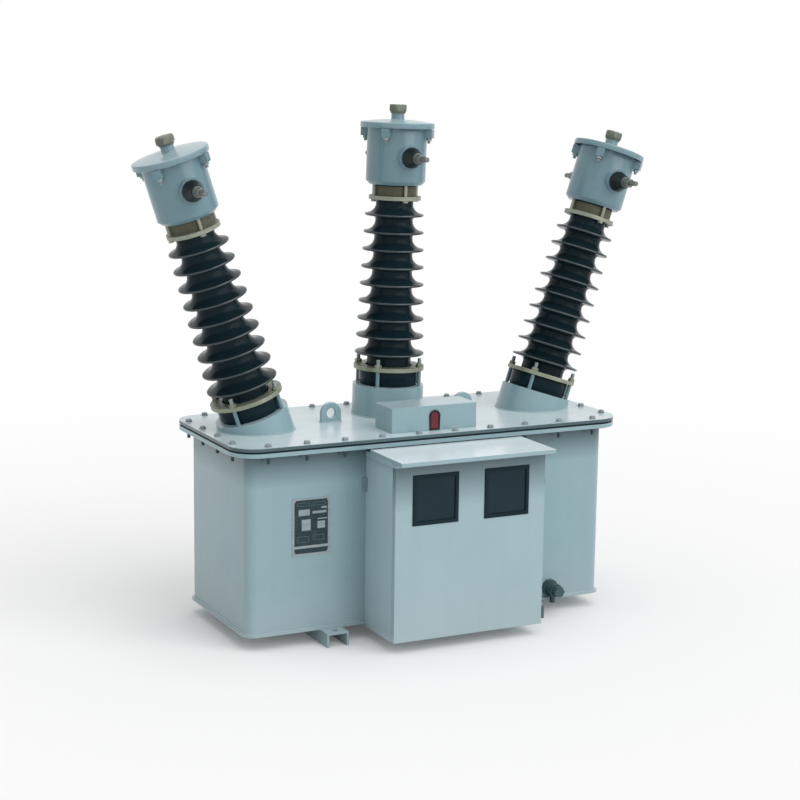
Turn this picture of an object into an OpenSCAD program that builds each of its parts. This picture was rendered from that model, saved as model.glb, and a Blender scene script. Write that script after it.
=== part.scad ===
// Outdoor three-phase combined instrument transformer: oil tank, fanned bushings, oil heads and meter box.
// X runs along the tank, -Y is the front with the meter box and Z = 0 is the ground.
// The origin is on the ground under the middle of the whole object.

/* [Tank] */
// Outside length of the tank wall
tank_l = 1190; // [1000:5:1400]
// Outside depth of the tank wall
tank_d = 462; // [422:2:560]
// Height from the base plate to the top of the flange
tank_h = 544; // [500:2:640]
// Corner radius of the tank wall
tank_r = 31; // [15:1:60]
// Thickness of the tank wall
tank_wall = 5; // [3:0.5:8]
// Thickness of the base plate
plate_t = 6; // [4:1:12]
// Lip of the base plate outside the wall
plate_lip = 8; // [2:1:14]
// Width of the top flange outside the wall
flange_w = 44; // [38:1:60]
// Thickness of the top flange
flange_t = 12; // [8:1:16]

/* [Lid] */
// Thickness of the lid plate
lid_t = 10; // [6:1:16]
// Corner radius of lid and flange
lid_r = 80; // [40:5:100]
// Thickness of the lid gasket
lid_gasket_t = 6; // [3:1:10]
// Setback of the lid gasket from the lid's edge
gasket_set = 4; // [1:1:8]
// Largest spacing of the lid bolts
bolt_pitch = 120; // [90:5:160]
// Distance of the bolt line from the lid's edge
bolt_edge = 20; // [16:1:24]
// Thread of the lid bolts
lid_bolt_d = 10; // [8:1:14]
// Length of the lid bolts below their nuts
lid_bolt_over = 14; // [4:1:20]
// Distance of the lifting lugs from the middle
lug_x = 226; // [180:2:280]
// Place of the lifting lugs front to back
lug_y = 12; // [-40:2:60]
// Width of a lifting lug
lug_w = 66; // [50:2:90]
// Height of a lifting lug to the centre of its eye
lug_h = 28; // [24:1:40]
// Thickness of a lifting lug
lug_t = 14; // [8:1:20]
// Diameter of the lifting eye
lug_eye = 30; // [20:1:34]

/* [Base channels] */
// Distance of a base channel from the middle
rail_x = 332; // [250:2:420]
// Width of a base channel
rail_w = 70; // [60:1:90]
// Height of a base channel
rail_h = 43; // [36:1:60]
// Web thickness of a base channel
rail_web = 6; // [4:0.5:9]
// Flange thickness of a base channel
rail_flange = 7; // [4:0.5:10]
// Reach of a base channel in front of and behind the tank
rail_over = 55; // [50:1:90]
// Diameter of an anchor hole
anchor_d = 18; // [12:1:22]
// Distance of an anchor hole from the channel's end
anchor_edge = 27; // [20:1:30]

/* [Bushing places] */
// Distance of the outer bushings from the middle, on the lid
bushing_x = 472; // [410:1:480]
// Place of the outer bushings front to back
outer_y = 2; // [-20:1:40]
// Place of the middle bushing front to back
middle_y = 85; // [60:1:100]
// Outward lean of the outer bushings in degrees
outer_tilt = 18; // [10:0.5:22]
// Sideways lean of the middle bushing in degrees
middle_tilt = 1.6; // [-4:0.1:4]
// Height of the outer turrets along their axis
outer_turret_h = 51; // [46:1:80]
// Height of the middle turret along its axis
middle_turret_h = 92; // [50:1:130]
// Outside diameter of a turret
turret_d = 220; // [218:1:240]
// Wall thickness of a turret
turret_wall = 6; // [4:0.5:8]
// Thickness of a turret's top plate
turret_plate = 12; // [10:1:20]
// Bore through lid and turret for the conductors
lead_bore = 120; // [100:2:130]

/* [Porcelain] */
// Number of sheds
shed_count = 9; // [6:1:11]
// Spacing of the sheds
shed_pitch = 53.2; // [48:0.1:60]
// Diameter of the lowest shed
shed_bottom_d = 214; // [190:1:230]
// Diameter of the highest shed
shed_top_d = 181; // [170:1:210]
// Core diameter at the lowest shed
core_bottom_d = 136; // [124:1:146]
// Core diameter at the highest shed
core_top_d = 115; // [108:1:118]
// Height of the lowest shed's rim above the porcelain's foot
first_shed = 94; // [92:1:120]
// Height of the porcelain above the highest shed's rim
shed_to_top = 88; // [86:1:110]
// Diameter of the porcelain's foot
foot_d = 184; // [176:1:184]
// Height of the porcelain's foot
foot_h = 44; // [36:1:46]
// Diameter of the porcelain's upper collar
collar_d = 130; // [126:1:132]
// Height of the porcelain's upper collar
collar_h = 30; // [24:1:34]
// Bore of the porcelain
porcelain_bore = 70; // [60:1:80]
// Thickness of the gaskets of bushing and head
gasket_t = 4; // [2:0.5:6]

/* [Clamp rings] */
// Outside diameter of the lower clamp ring
lower_ring_d = 218; // [216:1:224]
// Outside diameter of the upper clamp ring
upper_ring_d = 160; // [158:1:168]
// Thickness of the clamp rings
ring_t = 12; // [8:1:14]
// Number of bolts in a clamp ring
ring_bolts = 4; // [3:1:6]
// Thread of the lower ring's studs
stud_d = 12; // [8:1:12]
// Length of a stud above the lower ring
stud_over = 26; // [20:1:28]
// Thread of the upper ring's bolts
ring_bolt_d = 10; // [6:1:10]

/* [Heads] */
// Diameter of a head pot
pot_d = 182; // [178:1:196]
// Height of a head pot
pot_h = 178; // [160:1:200]
// Wall thickness of a head pot
pot_wall = 4; // [3:0.5:6]
// Thickness of a head pot's floor
pot_floor = 14; // [12:1:18]
// Diameter of a head cover
cover_d = 226; // [222:1:236]
// Rim height of a head cover
cover_rim = 17; // [12:1:20]
// Crown of a head cover
cover_crown = 8; // [4:1:14]
// Plate thickness of a head cover
cover_t = 6; // [4:1:8]
// Diameter of the filler neck
neck_d = 40; // [32:1:46]
// Height of the filler neck above the cover
neck_h = 19; // [16:1:36]
// Size of the filler cap across its corners
cap_d = 58; // [52:1:64]
// Height of the filler cap
cap_h = 26; // [18:1:34]
// Thread of the cover studs
cover_stud_d = 10; // [8:1:10]

/* [Terminals] */
// Height of the terminals above the pot's floor
terminal_z = 85; // [70:1:92]
// Thread of a terminal stud
terminal_d = 16; // [12:1:20]
// Length of a terminal outside the pot
terminal_l = 116; // [108:1:134]
// Length of a terminal's insulator outside its boss
insulator_l = 44; // [36:1:50]
// Diameter of a terminal's insulator
insulator_d = 62; // [50:1:64]

/* [Meter box] */
// Width of the meter box
box_w = 492; // [420:2:560]
// Height of the meter box
box_h = 532; // [480:2:534]
// Depth of the meter box with its door
box_depth = 197; // [160:1:240]
// Place of the meter box's middle along the tank
box_x = 25; // [0:1:60]
// Height of the meter box's floor above the ground
box_z = 34; // [20:1:40]
// Sheet thickness of box, door and roof
sheet_t = 2; // [1.5:0.1:3]
// Depth of the door's folded edge
door_t = 20; // [16:1:30]
// Running gap round the door
door_gap = 1.5; // [1:0.1:3]
// Overhang of the roof in front of the door
roof_front = 50; // [20:1:80]
// Overhang of the roof at each side
roof_side = 6; // [4:1:20]
// Depth of the roof's folded edge
roof_lip = 12; // [8:1:14]
// Outside size of a window frame
window_w = 150; // [110:1:160]
// Width of a window frame
frame_w = 12; // [8:1:16]
// How far a window frame stands out of the door
frame_out = 4; // [2:0.5:6]
// Distance of a window from the door's side edge
window_side = 54; // [30:1:70]
// Distance of the windows from the door's top edge
window_top = 36; // [24:1:60]
// Outside diameter of a hinge barrel
hinge_d = 10; // [8:0.5:12]
// Height of a hinge
hinge_h = 66; // [48:3:90]
// Distance of the hinges from the door's top and bottom
hinge_end = 60; // [40:1:100]

/* [Oil gauge] */
// Width of the gauge housing
gauge_w = 283; // [220:1:320]
// Depth of the gauge housing
gauge_depth = 112; // [80:1:120]
// Height of the gauge housing
gauge_h = 75; // [72:1:90]
// Place of the gauge housing's middle along the tank
gauge_x = 6; // [-30:1:30]
// Distance of the gauge housing's front from the lid's front edge
gauge_set = 50; // [46:1:70]
// Width of the gauge window
gauge_win_w = 36; // [32:1:56]
// Height of the gauge window
gauge_win_h = 62; // [52:1:66]

/* [Drain and plate] */
// Distance of the drain valve from the tank's right end
valve_x = 180; // [135:1:215]
// Height of the drain valve above the base plate
valve_up = 30; // [28:1:80]
// Diameter of the drain valve's flange
valve_d = 52; // [46:1:54]
// Length of the drain valve with its plug
valve_l = 66; // [64:1:90]
// Width of the name plate
plate_w = 120; // [90:1:160]
// Height of the name plate
plate_h = 170; // [120:1:200]
// Distance of the name plate's middle from the tank's left end
plate_x = 199; // [155:1:255]
// Height of the name plate's middle above the base plate
plate_up = 308; // [240:1:380]

/* [Core and coils] */
// Spacing of the voltage windings
limb_pitch = 300; // [260:5:330]
// Thickness of a core limb and yoke
limb_w = 70; // [60:1:76]
// Height of the core's window
core_window = 230; // [200:1:240]
// Outside diameter of a voltage winding
coil_d = 210; // [170:1:240]
// Height of the core frame's foot bars
frame_foot = 30; // [20:1:36]
// Outside diameter of a current transformer ring
ct_d = 120; // [100:1:124]
// Width of a current transformer ring
ct_w = 60; // [40:1:70]
// Diameter of a primary conductor
lead_d = 14; // [10:1:16]

/* [Hidden] */
$fn = 48;

// Clearances: sliding fit on a diameter half, hinge running fit, bolt in its hole, pane in its frame
slip = 0.1;
hinge_fit = 0.06;
bolt_gap = 1;
pane_gap = 0.2;

// Colours
paint = "#9fb6bd";
pale = "#b4c6cc";
glaze = "#1d1a1b";
zinc = "#a89a62";
steel = "#9a9c98";
brass = "#a89a5c";
black = "#1a1c1e";

// Levels
plate_z = rail_h;
floor_z = plate_z + plate_t;
flange_z = floor_z + tank_h;
lid_under = flange_z + lid_gasket_t;
lid_z = lid_under + lid_t;

// Place of the tank's middle that puts the origin under the middle of the whole object
front_reach = tank_d / 2 + box_depth + roof_front;
rear_reach = max(tank_d / 2 + rail_over, middle_y + pot_d / 2 + terminal_l);
tank_y = (front_reach - rear_reach) / 2;

// Lid outline and bolt line
lid_l = tank_l + 2 * flange_w;
lid_d = tank_d + 2 * flange_w;
bolt_l = lid_l - 2 * bolt_edge;
bolt_w = lid_d - 2 * bolt_edge;
row_n = floor(bolt_l / bolt_pitch);
end_n = floor(bolt_w / bolt_pitch);
function row_x(i) = (i - (row_n - 1) / 2) * bolt_pitch;
function end_y(j) = (j - (end_n - 1) / 2) * bolt_pitch;
lid_bolts_at = concat(
    [for (i = [0:row_n - 1], s = [-1, 1]) [row_x(i), s * bolt_w / 2]],
    [for (j = [0:end_n - 1], s = [-1, 1]) [s * bolt_l / 2, end_y(j)]]);
lid_grip = lid_t + lid_gasket_t + flange_t;
lid_bolt_short = 4;

// Fastener proportions
function head_h(d) = 0.65 * d;
function nut_h(d) = 0.8 * d;
function corner_d(d) = 1.8 * d;
function washer_d(d) = 2.1 * d;
function washer_t(d) = 0.2 * d;

// Bushing places: 0 left, 1 middle, 2 right
function bush_x(i) = (i - 1) * bushing_x;
function bush_y(i) = i == 1 ? middle_y : outer_y;
function bush_tilt(i) = i == 1 ? middle_tilt : (i - 1) * outer_tilt;
function bush_h(i) = i == 1 ? middle_turret_h : outer_turret_h;
function bush_point(i, p) = [
    bush_x(i) + p[0] * cos(bush_tilt(i)) + p[2] * sin(bush_tilt(i)),
    bush_y(i) + p[1],
    lid_z - p[0] * sin(bush_tilt(i)) + p[2] * cos(bush_tilt(i))];

// Heights along a bushing's axis above its turret
porcelain_z = gasket_t;
porcelain_h = first_shed + (shed_count - 1) * shed_pitch + shed_to_top;
lower_ring_z = porcelain_z + foot_h;
collar_z = porcelain_z + porcelain_h - collar_h;
pot_z = porcelain_z + porcelain_h + gasket_t;
cover_z = pot_z + pot_h + gasket_t;
cap_z = cover_z + cover_t + cover_crown + neck_h;
terminal_h = pot_z + terminal_z;

// Bolt circles and ring bores
stud_gap = 2;
ring_step = 4;
stud_r = foot_d / 2 + stud_gap + stud_d / 2;
ring_bolt_r = collar_d / 2 + stud_gap + ring_bolt_d / 2;
lower_ring_bore = core_bottom_d + 2 * ring_step;
upper_ring_bore = core_top_d + 2 * ring_step;
cover_lip_t = 4;
cover_stud_r = cover_d / 2 - cover_lip_t - cover_stud_d / 2 - stud_gap;
pot_bore = porcelain_bore;
lug_pad_t = 26;
lug_pad_top = 8;
lug_pad_z = pot_h - lug_pad_t - lug_pad_top;
lug_pad_w = 24;

// Terminals
boss_rim = 5;
boss_d = insulator_d + 2 * boss_rim;
boss_l = 10;
stem_wall = 6;
stem_d = terminal_d + 2 * stem_wall;
stem_in = 30;
boss_y = pot_d / 2 + boss_l;
nut_y = boss_y + insulator_l;
stud_over_stem = 6;
stud_in = pot_d / 2 - stem_in - stud_over_stem;
terminal_washer = 3;
plain_y = nut_y + terminal_washer + 2 * nut_h(terminal_d);
plain_step = 1;

// Meter box
box_front = -tank_d / 2 - box_depth;
seam_y = box_front + door_t;
box_left = box_x - box_w / 2;
box_right = box_x + box_w / 2;
box_top = box_z + box_h;
door_z = box_z + door_gap;
door_h = box_h - 2 * door_gap;
window_z = door_z + door_h - window_top - window_w / 2;
windows_x = [box_left + window_side + window_w / 2, box_right - window_side - window_w / 2];
roof_under = 6;
notch_gap = 3;
frame_lip = 5;
pane_t = 4;
hinge_off = hinge_d / 2 + 1;
hinge_x = box_right + hinge_off;
hinge_pin_d = hinge_d / 2;
hinge_leaf = 24;
leaf_t = 2;
knuckle_gap = 0.4;
hinges_z = [door_z + hinge_end, door_z + door_h - hinge_end - hinge_h];
board_w = 260;
board_h = 110;
board_t = 14;
board_up = 90;
board_z = box_z + board_up;
panel_side = 35;
panel_top = 20;
panel_off = 34;
panel_w = box_w - 2 * panel_side;
panel_h = 270;
panel_z = box_top - panel_top - panel_h;
panel_y = -tank_d / 2 - panel_off;
panel_foot = 20;
bracket_h = 42;
bracket_leg = 12;
bracket_t = 4;
bracket_drop = 120;
bracket_z = box_top - bracket_drop;

// Oil gauge
gauge_front = -lid_d / 2 + gauge_set;
gauge_sheet = 3;
gauge_bezel_t = 4;
gauge_bezel_w = 5;

// Drain valve and name plate
valve_z = floor_z + valve_up;
valve_flange = 10;
valve_body_d = 0.72 * valve_d;
plug_l = 28;
spout_d = 18;
spout_below = 6;
spout_set = 4;
spout_l = valve_up + plate_t + spout_below;
spout_y = valve_flange + spout_d / 2 + spout_set;
name_t = 1.5;
rivet_d = 6;
rivet_edge = 8;

// Core and coils
core_z = floor_z + frame_foot;
core_h = core_window + 2 * limb_w;
shelf_z = core_z + core_h;
shelf_t = 8;
shelf_l = 2 * bushing_x + ct_d;
shelf_front = 70;
shelf_rear = 40;
shelf_y = [outer_y - ct_w / 2 - shelf_front, middle_y + ct_w / 2 + shelf_rear];
coil_gap = 2;
coil_lining = 4;
coil_bore = limb_w * sqrt(2) + 2 * coil_lining;
frame_bar = 20;
post_gap = 5;
post_x = limb_pitch + coil_d / 2 + post_gap + frame_bar / 2;
foot_y = (limb_w - frame_bar / 2) / 2;
ct_foot = 4;
ct_z = shelf_z + shelf_t + ct_d / 2 + ct_foot;
ct_bore = ct_d / 2 - ct_foot;
lead_spread = ct_w / 2 + lead_d;
lead_space = 6;
lead_pair = lead_d / 2 + lead_space;
joint_swell = 0.6;
function ct_x(i) = bush_x(i) - (lid_z - ct_z) * tan(bush_tilt(i));

// Shared shapes

module placed() {
    translate([0, tank_y, 0]) children();
}

module rounded_plate(l, d, r, t) {
    linear_extrude(t) union() {
        square([l - 2 * r, d], center = true);
        square([l, d - 2 * r], center = true);
        for (x = [-1, 1], y = [-1, 1]) translate([x * (l / 2 - r), y * (d / 2 - r)]) circle(r);
    }
}

module block(low, high) {
    translate(low) cube(high - low);
}

module hex(d, h) {
    cylinder(d = corner_d(d), h = h, $fn = 6);
}

module nut(d) {
    difference() {
        hex(d, nut_h(d));
        translate([0, 0, -1]) cylinder(d = d + 2 * slip, h = nut_h(d) + 2);
    }
}

module ring(outer, inner, h) {
    difference() {
        cylinder(d = outer, h = h);
        translate([0, 0, -1]) cylinder(d = inner, h = h + 2);
    }
}

module along_y(y) {
    translate([0, y, 0]) rotate([90, 0, 0]) children();
}

module at_lid_bolts(z) {
    for (p = lid_bolts_at) translate([p[0], p[1], z]) children();
}

module at_bushing(i) {
    translate([bush_x(i), bush_y(i), lid_z]) rotate([0, bush_tilt(i), 0]) children();
}

module at_seat(i, z) {
    at_bushing(i) translate([0, 0, bush_h(i) + z]) children();
}

module on_circle(r, n, start) {
    for (k = [0:n - 1]) rotate([0, 0, start + 360 * k / n]) translate([r, 0, 0]) children();
}

module at_cover_studs() {
    on_circle(cover_stud_r, 4, 45) children();
}

// One straight piece of a round conductor from p to q
module rod(p, q, d) {
    v = q - p;
    translate(p) rotate([0, acos(v[2] / norm(v)), atan2(v[1], v[0])]) cylinder(d = d, h = norm(v));
}

// Tank and base

// Open shell with a flange; the base plate's lip is cut away behind the meter box
module tank_body() {
    color(paint) placed() difference() {
        union() {
            translate([0, 0, plate_z])
                rounded_plate(tank_l + 2 * plate_lip, tank_d + 2 * plate_lip, tank_r + plate_lip, plate_t);
            translate([0, 0, floor_z]) rounded_plate(tank_l, tank_d, tank_r, tank_h);
            translate([0, 0, flange_z - flange_t]) rounded_plate(lid_l, lid_d, lid_r, flange_t);
        }
        translate([0, 0, floor_z])
            rounded_plate(tank_l - 2 * tank_wall, tank_d - 2 * tank_wall, tank_r - tank_wall, tank_h + 1);
        at_lid_bolts(flange_z - flange_t - 1) cylinder(d = lid_bolt_d + 2 * bolt_gap, h = flange_t + 2);
        block([box_left - notch_gap, -tank_d / 2 - 2 * plate_lip, plate_z - 1],
              [box_right + notch_gap, -tank_d / 2, floor_z]);
    }
}

// Base channel under the tank, flanges down, with an anchor hole at each end
module base_rail(side) {
    length = tank_d + 2 * rail_over;
    color(paint) placed() translate([side * rail_x, 0, 0]) difference() {
        block([-rail_w / 2, -length / 2, 0], [rail_w / 2, length / 2, rail_h]);
        block([-rail_w / 2 + rail_flange, -length / 2 - 1, -1],
              [rail_w / 2 - rail_flange, length / 2 + 1, rail_h - rail_web]);
        for (s = [-1, 1]) translate([0, s * (length / 2 - anchor_edge), 0])
            cylinder(d = anchor_d, h = rail_h + 1);
    }
}

module base_rail_left() {
    base_rail(-1);
}

module base_rail_right() {
    base_rail(1);
}

// Lid with what is fixed to it

module lid_gasket() {
    color(black) placed() translate([0, 0, flange_z]) difference() {
        rounded_plate(lid_l - 2 * gasket_set, lid_d - 2 * gasket_set, lid_r - gasket_set, lid_gasket_t);
        translate([0, 0, -1]) rounded_plate(tank_l - 2 * tank_wall, tank_d - 2 * tank_wall,
            tank_r - tank_wall, lid_gasket_t + 2);
        at_lid_bolts(-1) cylinder(d = lid_bolt_d + 2 * bolt_gap, h = lid_gasket_t + 2);
    }
}

module tank_lid() {
    color(pale) placed() difference() {
        translate([0, 0, lid_under]) rounded_plate(lid_l, lid_d, lid_r, lid_t);
        at_lid_bolts(lid_under - 1) cylinder(d = lid_bolt_d + 2 * bolt_gap, h = lid_t + 2);
        for (i = [0:2]) at_bushing(i) translate([0, 0, -3 * lid_t]) cylinder(d = lead_bore, h = 6 * lid_t);
    }
}

// The bolts above the meter box end short of it
function over_box(p) = p[1] < 0 && p[0] > box_left - lid_bolt_d && p[0] < box_right + lid_bolt_d;
function bolt_under(p) = lid_grip + nut_h(lid_bolt_d) + (over_box(p) ? lid_bolt_short : lid_bolt_over);

module lid_bolts() {
    color(steel) placed() for (p = lid_bolts_at) translate([p[0], p[1], lid_z]) {
        cylinder(d = washer_d(lid_bolt_d), h = washer_t(lid_bolt_d));
        translate([0, 0, washer_t(lid_bolt_d)]) hex(lid_bolt_d, head_h(lid_bolt_d));
        translate([0, 0, -bolt_under(p)]) cylinder(d = lid_bolt_d, h = bolt_under(p) + washer_t(lid_bolt_d));
    }
}

module lid_nuts() {
    color(steel) placed() at_lid_bolts(lid_z - lid_grip - nut_h(lid_bolt_d)) nut(lid_bolt_d);
}

module lifting_lugs() {
    color(paint) placed() for (s = [-1, 1]) translate([s * lug_x, lug_y, lid_z]) difference() {
        union() {
            block([-lug_w / 2, -lug_t / 2, 0], [lug_w / 2, lug_t / 2, lug_h]);
            translate([0, 0, lug_h]) along_y(lug_t / 2) intersection() {
                cylinder(d = lug_w, h = lug_t);
                block([-lug_w, -lug_h, -1], [lug_w, lug_w, lug_t + 1]);
            }
        }
        translate([0, 0, lug_h]) along_y(lug_t / 2 + 1) cylinder(d = lug_eye, h = lug_t + 2);
    }
}

// Tube of a turret cut by the lid's plane, with the top plate that holds the studs
module turret(i) {
    h = bush_h(i);
    color(paint) placed() intersection() {
        at_bushing(i) difference() {
            translate([0, 0, -turret_d / 2]) cylinder(d = turret_d, h = h + turret_d / 2);
            translate([0, 0, -turret_d / 2 - 1])
                cylinder(d = turret_d - 2 * turret_wall, h = h + turret_d / 2 + 1 - turret_plate);
            cylinder(d = lead_bore, h = h + 1);
            on_circle(stud_r, ring_bolts, 45) translate([0, 0, h - turret_plate - 1])
                cylinder(d = stud_d + 2 * slip, h = turret_plate + 2);
        }
        translate([bush_x(i), bush_y(i), lid_z]) block([-2 * turret_d, -2 * turret_d, 0],
            [2 * turret_d, 2 * turret_d, 4 * turret_d]);
    }
}

module turret_left() {
    turret(0);
}

module turret_middle() {
    turret(1);
}

module turret_right() {
    turret(2);
}

// Outline of the gauge window, arched at the top, standing on z = 0
module gauge_arch(w, h, t) {
    along_y(0) linear_extrude(t) union() {
        translate([-w / 2, 0]) square([w, h - w / 2]);
        translate([0, h - w / 2]) intersection() {
            circle(d = w);
            translate([-w, 0]) square([2 * w, w]);
        }
    }
}

module at_gauge(y) {
    translate([gauge_x, gauge_front + y, lid_z]) children();
}

module gauge_housing() {
    color(pale) placed() at_gauge(0) difference() {
        block([-gauge_w / 2, 0, 0], [gauge_w / 2, gauge_depth, gauge_h]);
        block([-gauge_w / 2 + gauge_sheet, gauge_sheet, -1],
              [gauge_w / 2 - gauge_sheet, gauge_depth - gauge_sheet, gauge_h - gauge_sheet]);
        translate([0, gauge_sheet + 1, gauge_bezel_w])
            gauge_arch(gauge_win_w - 2 * gauge_bezel_w, gauge_win_h - 2 * gauge_bezel_w, gauge_sheet + 2);
    }
}

module gauge_bezel() {
    color(black) placed() at_gauge(0) difference() {
        gauge_arch(gauge_win_w, gauge_win_h, gauge_bezel_t);
        translate([0, 1, gauge_bezel_w]) gauge_arch(gauge_win_w - 2 * gauge_bezel_w,
            gauge_win_h - 2 * gauge_bezel_w, gauge_bezel_t + 2);
    }
}

module gauge_window() {
    color("#a02424") placed() at_gauge(gauge_sheet) translate([0, 0, gauge_bezel_w + pane_gap])
        gauge_arch(gauge_win_w - 2 * gauge_bezel_w - 2 * pane_gap,
            gauge_win_h - 2 * gauge_bezel_w - 2 * pane_gap, gauge_sheet + gauge_bezel_t - 1.5);
}

// Bushings

shed_fillet = 13;
shed_drop = 4;
shed_lip = 3.6;
shed_rise = 27;
shed_bend = 7;
foot_edge = 4;
root_fillet = 3;
function blend(low, high, k) = low + (high - low) * k / (shed_count - 1);
function shed_r(k) = blend(shed_bottom_d, shed_top_d, k) / 2;
function core_r(k) = blend(core_bottom_d, core_top_d, k) / 2;
function shed_z(k) = first_shed + k * shed_pitch;
function arc(c, r, from, to, n) = [for (s = [0:n])
    let (a = from + (to - from) * s / n) c + r * [cos(a), sin(a)]];
function curve(a, b, c, n) = [for (s = [1:n])
    let (t = s / n, u = 1 - t) u * u * a + 2 * t * u * b + t * t * c];

// Outline of one shed from its underside to the core above it
function shed(k) = let (r = shed_r(k), c = core_r(k), z = shed_z(k)) concat(
    arc([c + shed_fillet, z - shed_drop - shed_fillet], shed_fillet, 180, 96, 3),
    arc([r - shed_lip, z], shed_lip, -86, 62, 4),
    curve([r - shed_lip, z + shed_lip], [c + shed_bend, z + shed_bend], [c, z + shed_rise], 6));

function porcelain_outline() = concat(
    [[porcelain_bore / 2, 0], [foot_d / 2 - foot_edge, 0], [foot_d / 2, foot_edge]],
    arc([foot_d / 2 - foot_edge, foot_h - foot_edge], foot_edge, 0, 90, 3),
    arc([core_r(0) + root_fillet, foot_h + root_fillet], root_fillet, 270, 180, 3),
    [for (k = [0:shed_count - 1]) each shed(k)],
    arc([core_top_d / 2 + root_fillet, porcelain_h - collar_h - root_fillet], root_fillet, 180, 90, 3),
    [[collar_d / 2, porcelain_h - collar_h], [collar_d / 2, porcelain_h], [porcelain_bore / 2, porcelain_h]]);

module porcelain(i) {
    color(glaze) placed() at_seat(i, porcelain_z) rotate_extrude($fn = 72) polygon(porcelain_outline());
}

module porcelain_left() {
    porcelain(0);
}

module porcelain_middle() {
    porcelain(1);
}

module porcelain_right() {
    porcelain(2);
}

module bushing_gaskets() {
    color(black) placed() for (i = [0:2]) {
        at_seat(i, 0) ring(foot_d - 2 * foot_edge, lead_bore, gasket_t);
        at_seat(i, pot_z - gasket_t) ring(collar_d, pot_bore, gasket_t);
        at_seat(i, cover_z - gasket_t) ring(pot_d, pot_d - 4 * pot_wall, gasket_t);
    }
}

module lower_ring(i) {
    color(zinc) placed() at_seat(i, lower_ring_z) difference() {
        ring(lower_ring_d, lower_ring_bore, ring_t);
        on_circle(stud_r, ring_bolts, 45) translate([0, 0, -1])
            cylinder(d = stud_d + 2 * slip, h = ring_t + 2);
    }
}

module lower_ring_left() {
    lower_ring(0);
}

module lower_ring_middle() {
    lower_ring(1);
}

module lower_ring_right() {
    lower_ring(2);
}

module lower_ring_studs() {
    color(steel) placed() for (i = [0:2]) at_seat(i, -turret_plate) on_circle(stud_r, ring_bolts, 45)
        cylinder(d = stud_d, h = turret_plate + lower_ring_z + ring_t + stud_over);
}

module lower_ring_nuts() {
    color(zinc) placed() for (i = [0:2]) at_seat(i, lower_ring_z + ring_t)
        on_circle(stud_r, ring_bolts, 45) nut(stud_d);
}

module upper_ring(i) {
    color(zinc) placed() at_seat(i, collar_z - ring_t) difference() {
        ring(upper_ring_d, upper_ring_bore, ring_t);
        on_circle(ring_bolt_r, ring_bolts, 0) translate([0, 0, -1])
            cylinder(d = ring_bolt_d + 2 * slip, h = ring_t + 2);
    }
}

module upper_ring_left() {
    upper_ring(0);
}

module upper_ring_middle() {
    upper_ring(1);
}

module upper_ring_right() {
    upper_ring(2);
}

// Bolts from below the upper ring into the floor of the pot
thread_depth = 10;
module upper_ring_bolts() {
    color(zinc) placed() for (i = [0:2]) at_seat(i, collar_z - ring_t) on_circle(ring_bolt_r, ring_bolts, 0) {
        translate([0, 0, -head_h(ring_bolt_d)]) hex(ring_bolt_d, head_h(ring_bolt_d));
        translate([0, 0, -1]) cylinder(d = ring_bolt_d, h = 1 + ring_t + collar_h + gasket_t + thread_depth);
    }
}

// Heads

module pot_shell() {
    foot = upper_ring_d / 2;
    rise = pot_d / 2 - foot;
    rotate_extrude($fn = 72) polygon([[pot_bore / 2, 0], [foot, 0], [pot_d / 2, rise], [pot_d / 2, pot_h],
        [pot_d / 2 - pot_wall, pot_h], [pot_d / 2 - pot_wall, pot_floor + rise],
        [foot - pot_wall, pot_floor], [pot_bore / 2, pot_floor]]);
}

module head_pot(i) {
    color(paint) placed() at_seat(i, pot_z) difference() {
        union() {
            pot_shell();
            for (s = [0, 180]) rotate([0, 0, s]) translate([0, 0, terminal_z]) difference() {
                along_y(-pot_d / 2 + pot_wall + 4) cylinder(d = boss_d, h = boss_l + pot_wall + 4);
                translate([0, 0, -boss_d]) cylinder(d = pot_d - 2 * pot_wall, h = 2 * boss_d);
            }
            at_cover_studs() difference() {
                block([-cover_stud_r + pot_d / 2 - pot_wall, -lug_pad_w / 2, lug_pad_z],
                      [lug_pad_w / 2, lug_pad_w / 2, lug_pad_z + lug_pad_t]);
                translate([-cover_stud_r, 0, 0]) cylinder(d = pot_d - pot_wall, h = pot_h);
            }
        }
        for (s = [0, 180]) rotate([0, 0, s]) translate([0, 0, terminal_z])
            along_y(0) cylinder(d = stem_d + 2 * slip, h = pot_d);
        at_cover_studs() cylinder(d = cover_stud_d + 2 * slip, h = pot_h);
        on_circle(ring_bolt_r, ring_bolts, 0) translate([0, 0, -1])
            cylinder(d = ring_bolt_d + 2 * slip, h = thread_depth + 1);
    }
}

module head_pot_left() {
    head_pot(0);
}

module head_pot_middle() {
    head_pot(1);
}

module head_pot_right() {
    head_pot(2);
}

module head_cover(i) {
    rim_r = cover_d / 2;
    neck_bore = neck_d / 2 - 5;
    crown_z = cover_t + cover_crown;
    color(pale) placed() at_seat(i, cover_z) rotate_extrude($fn = 72) polygon(concat(
        [[neck_bore, 0], [rim_r - cover_lip_t, 0], [rim_r - cover_lip_t, cover_t - cover_rim],
         [rim_r, cover_t - cover_rim], [rim_r, cover_t - 2], [rim_r - 2, cover_t]],
        curve([rim_r - 2, cover_t], [rim_r / 2, crown_z], [neck_d / 2, crown_z], 6),
        [[neck_d / 2, crown_z + neck_h], [neck_bore, crown_z + neck_h]]));
}

module head_cover_left() {
    head_cover(0);
}

module head_cover_middle() {
    head_cover(1);
}

module head_cover_right() {
    head_cover(2);
}

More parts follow.
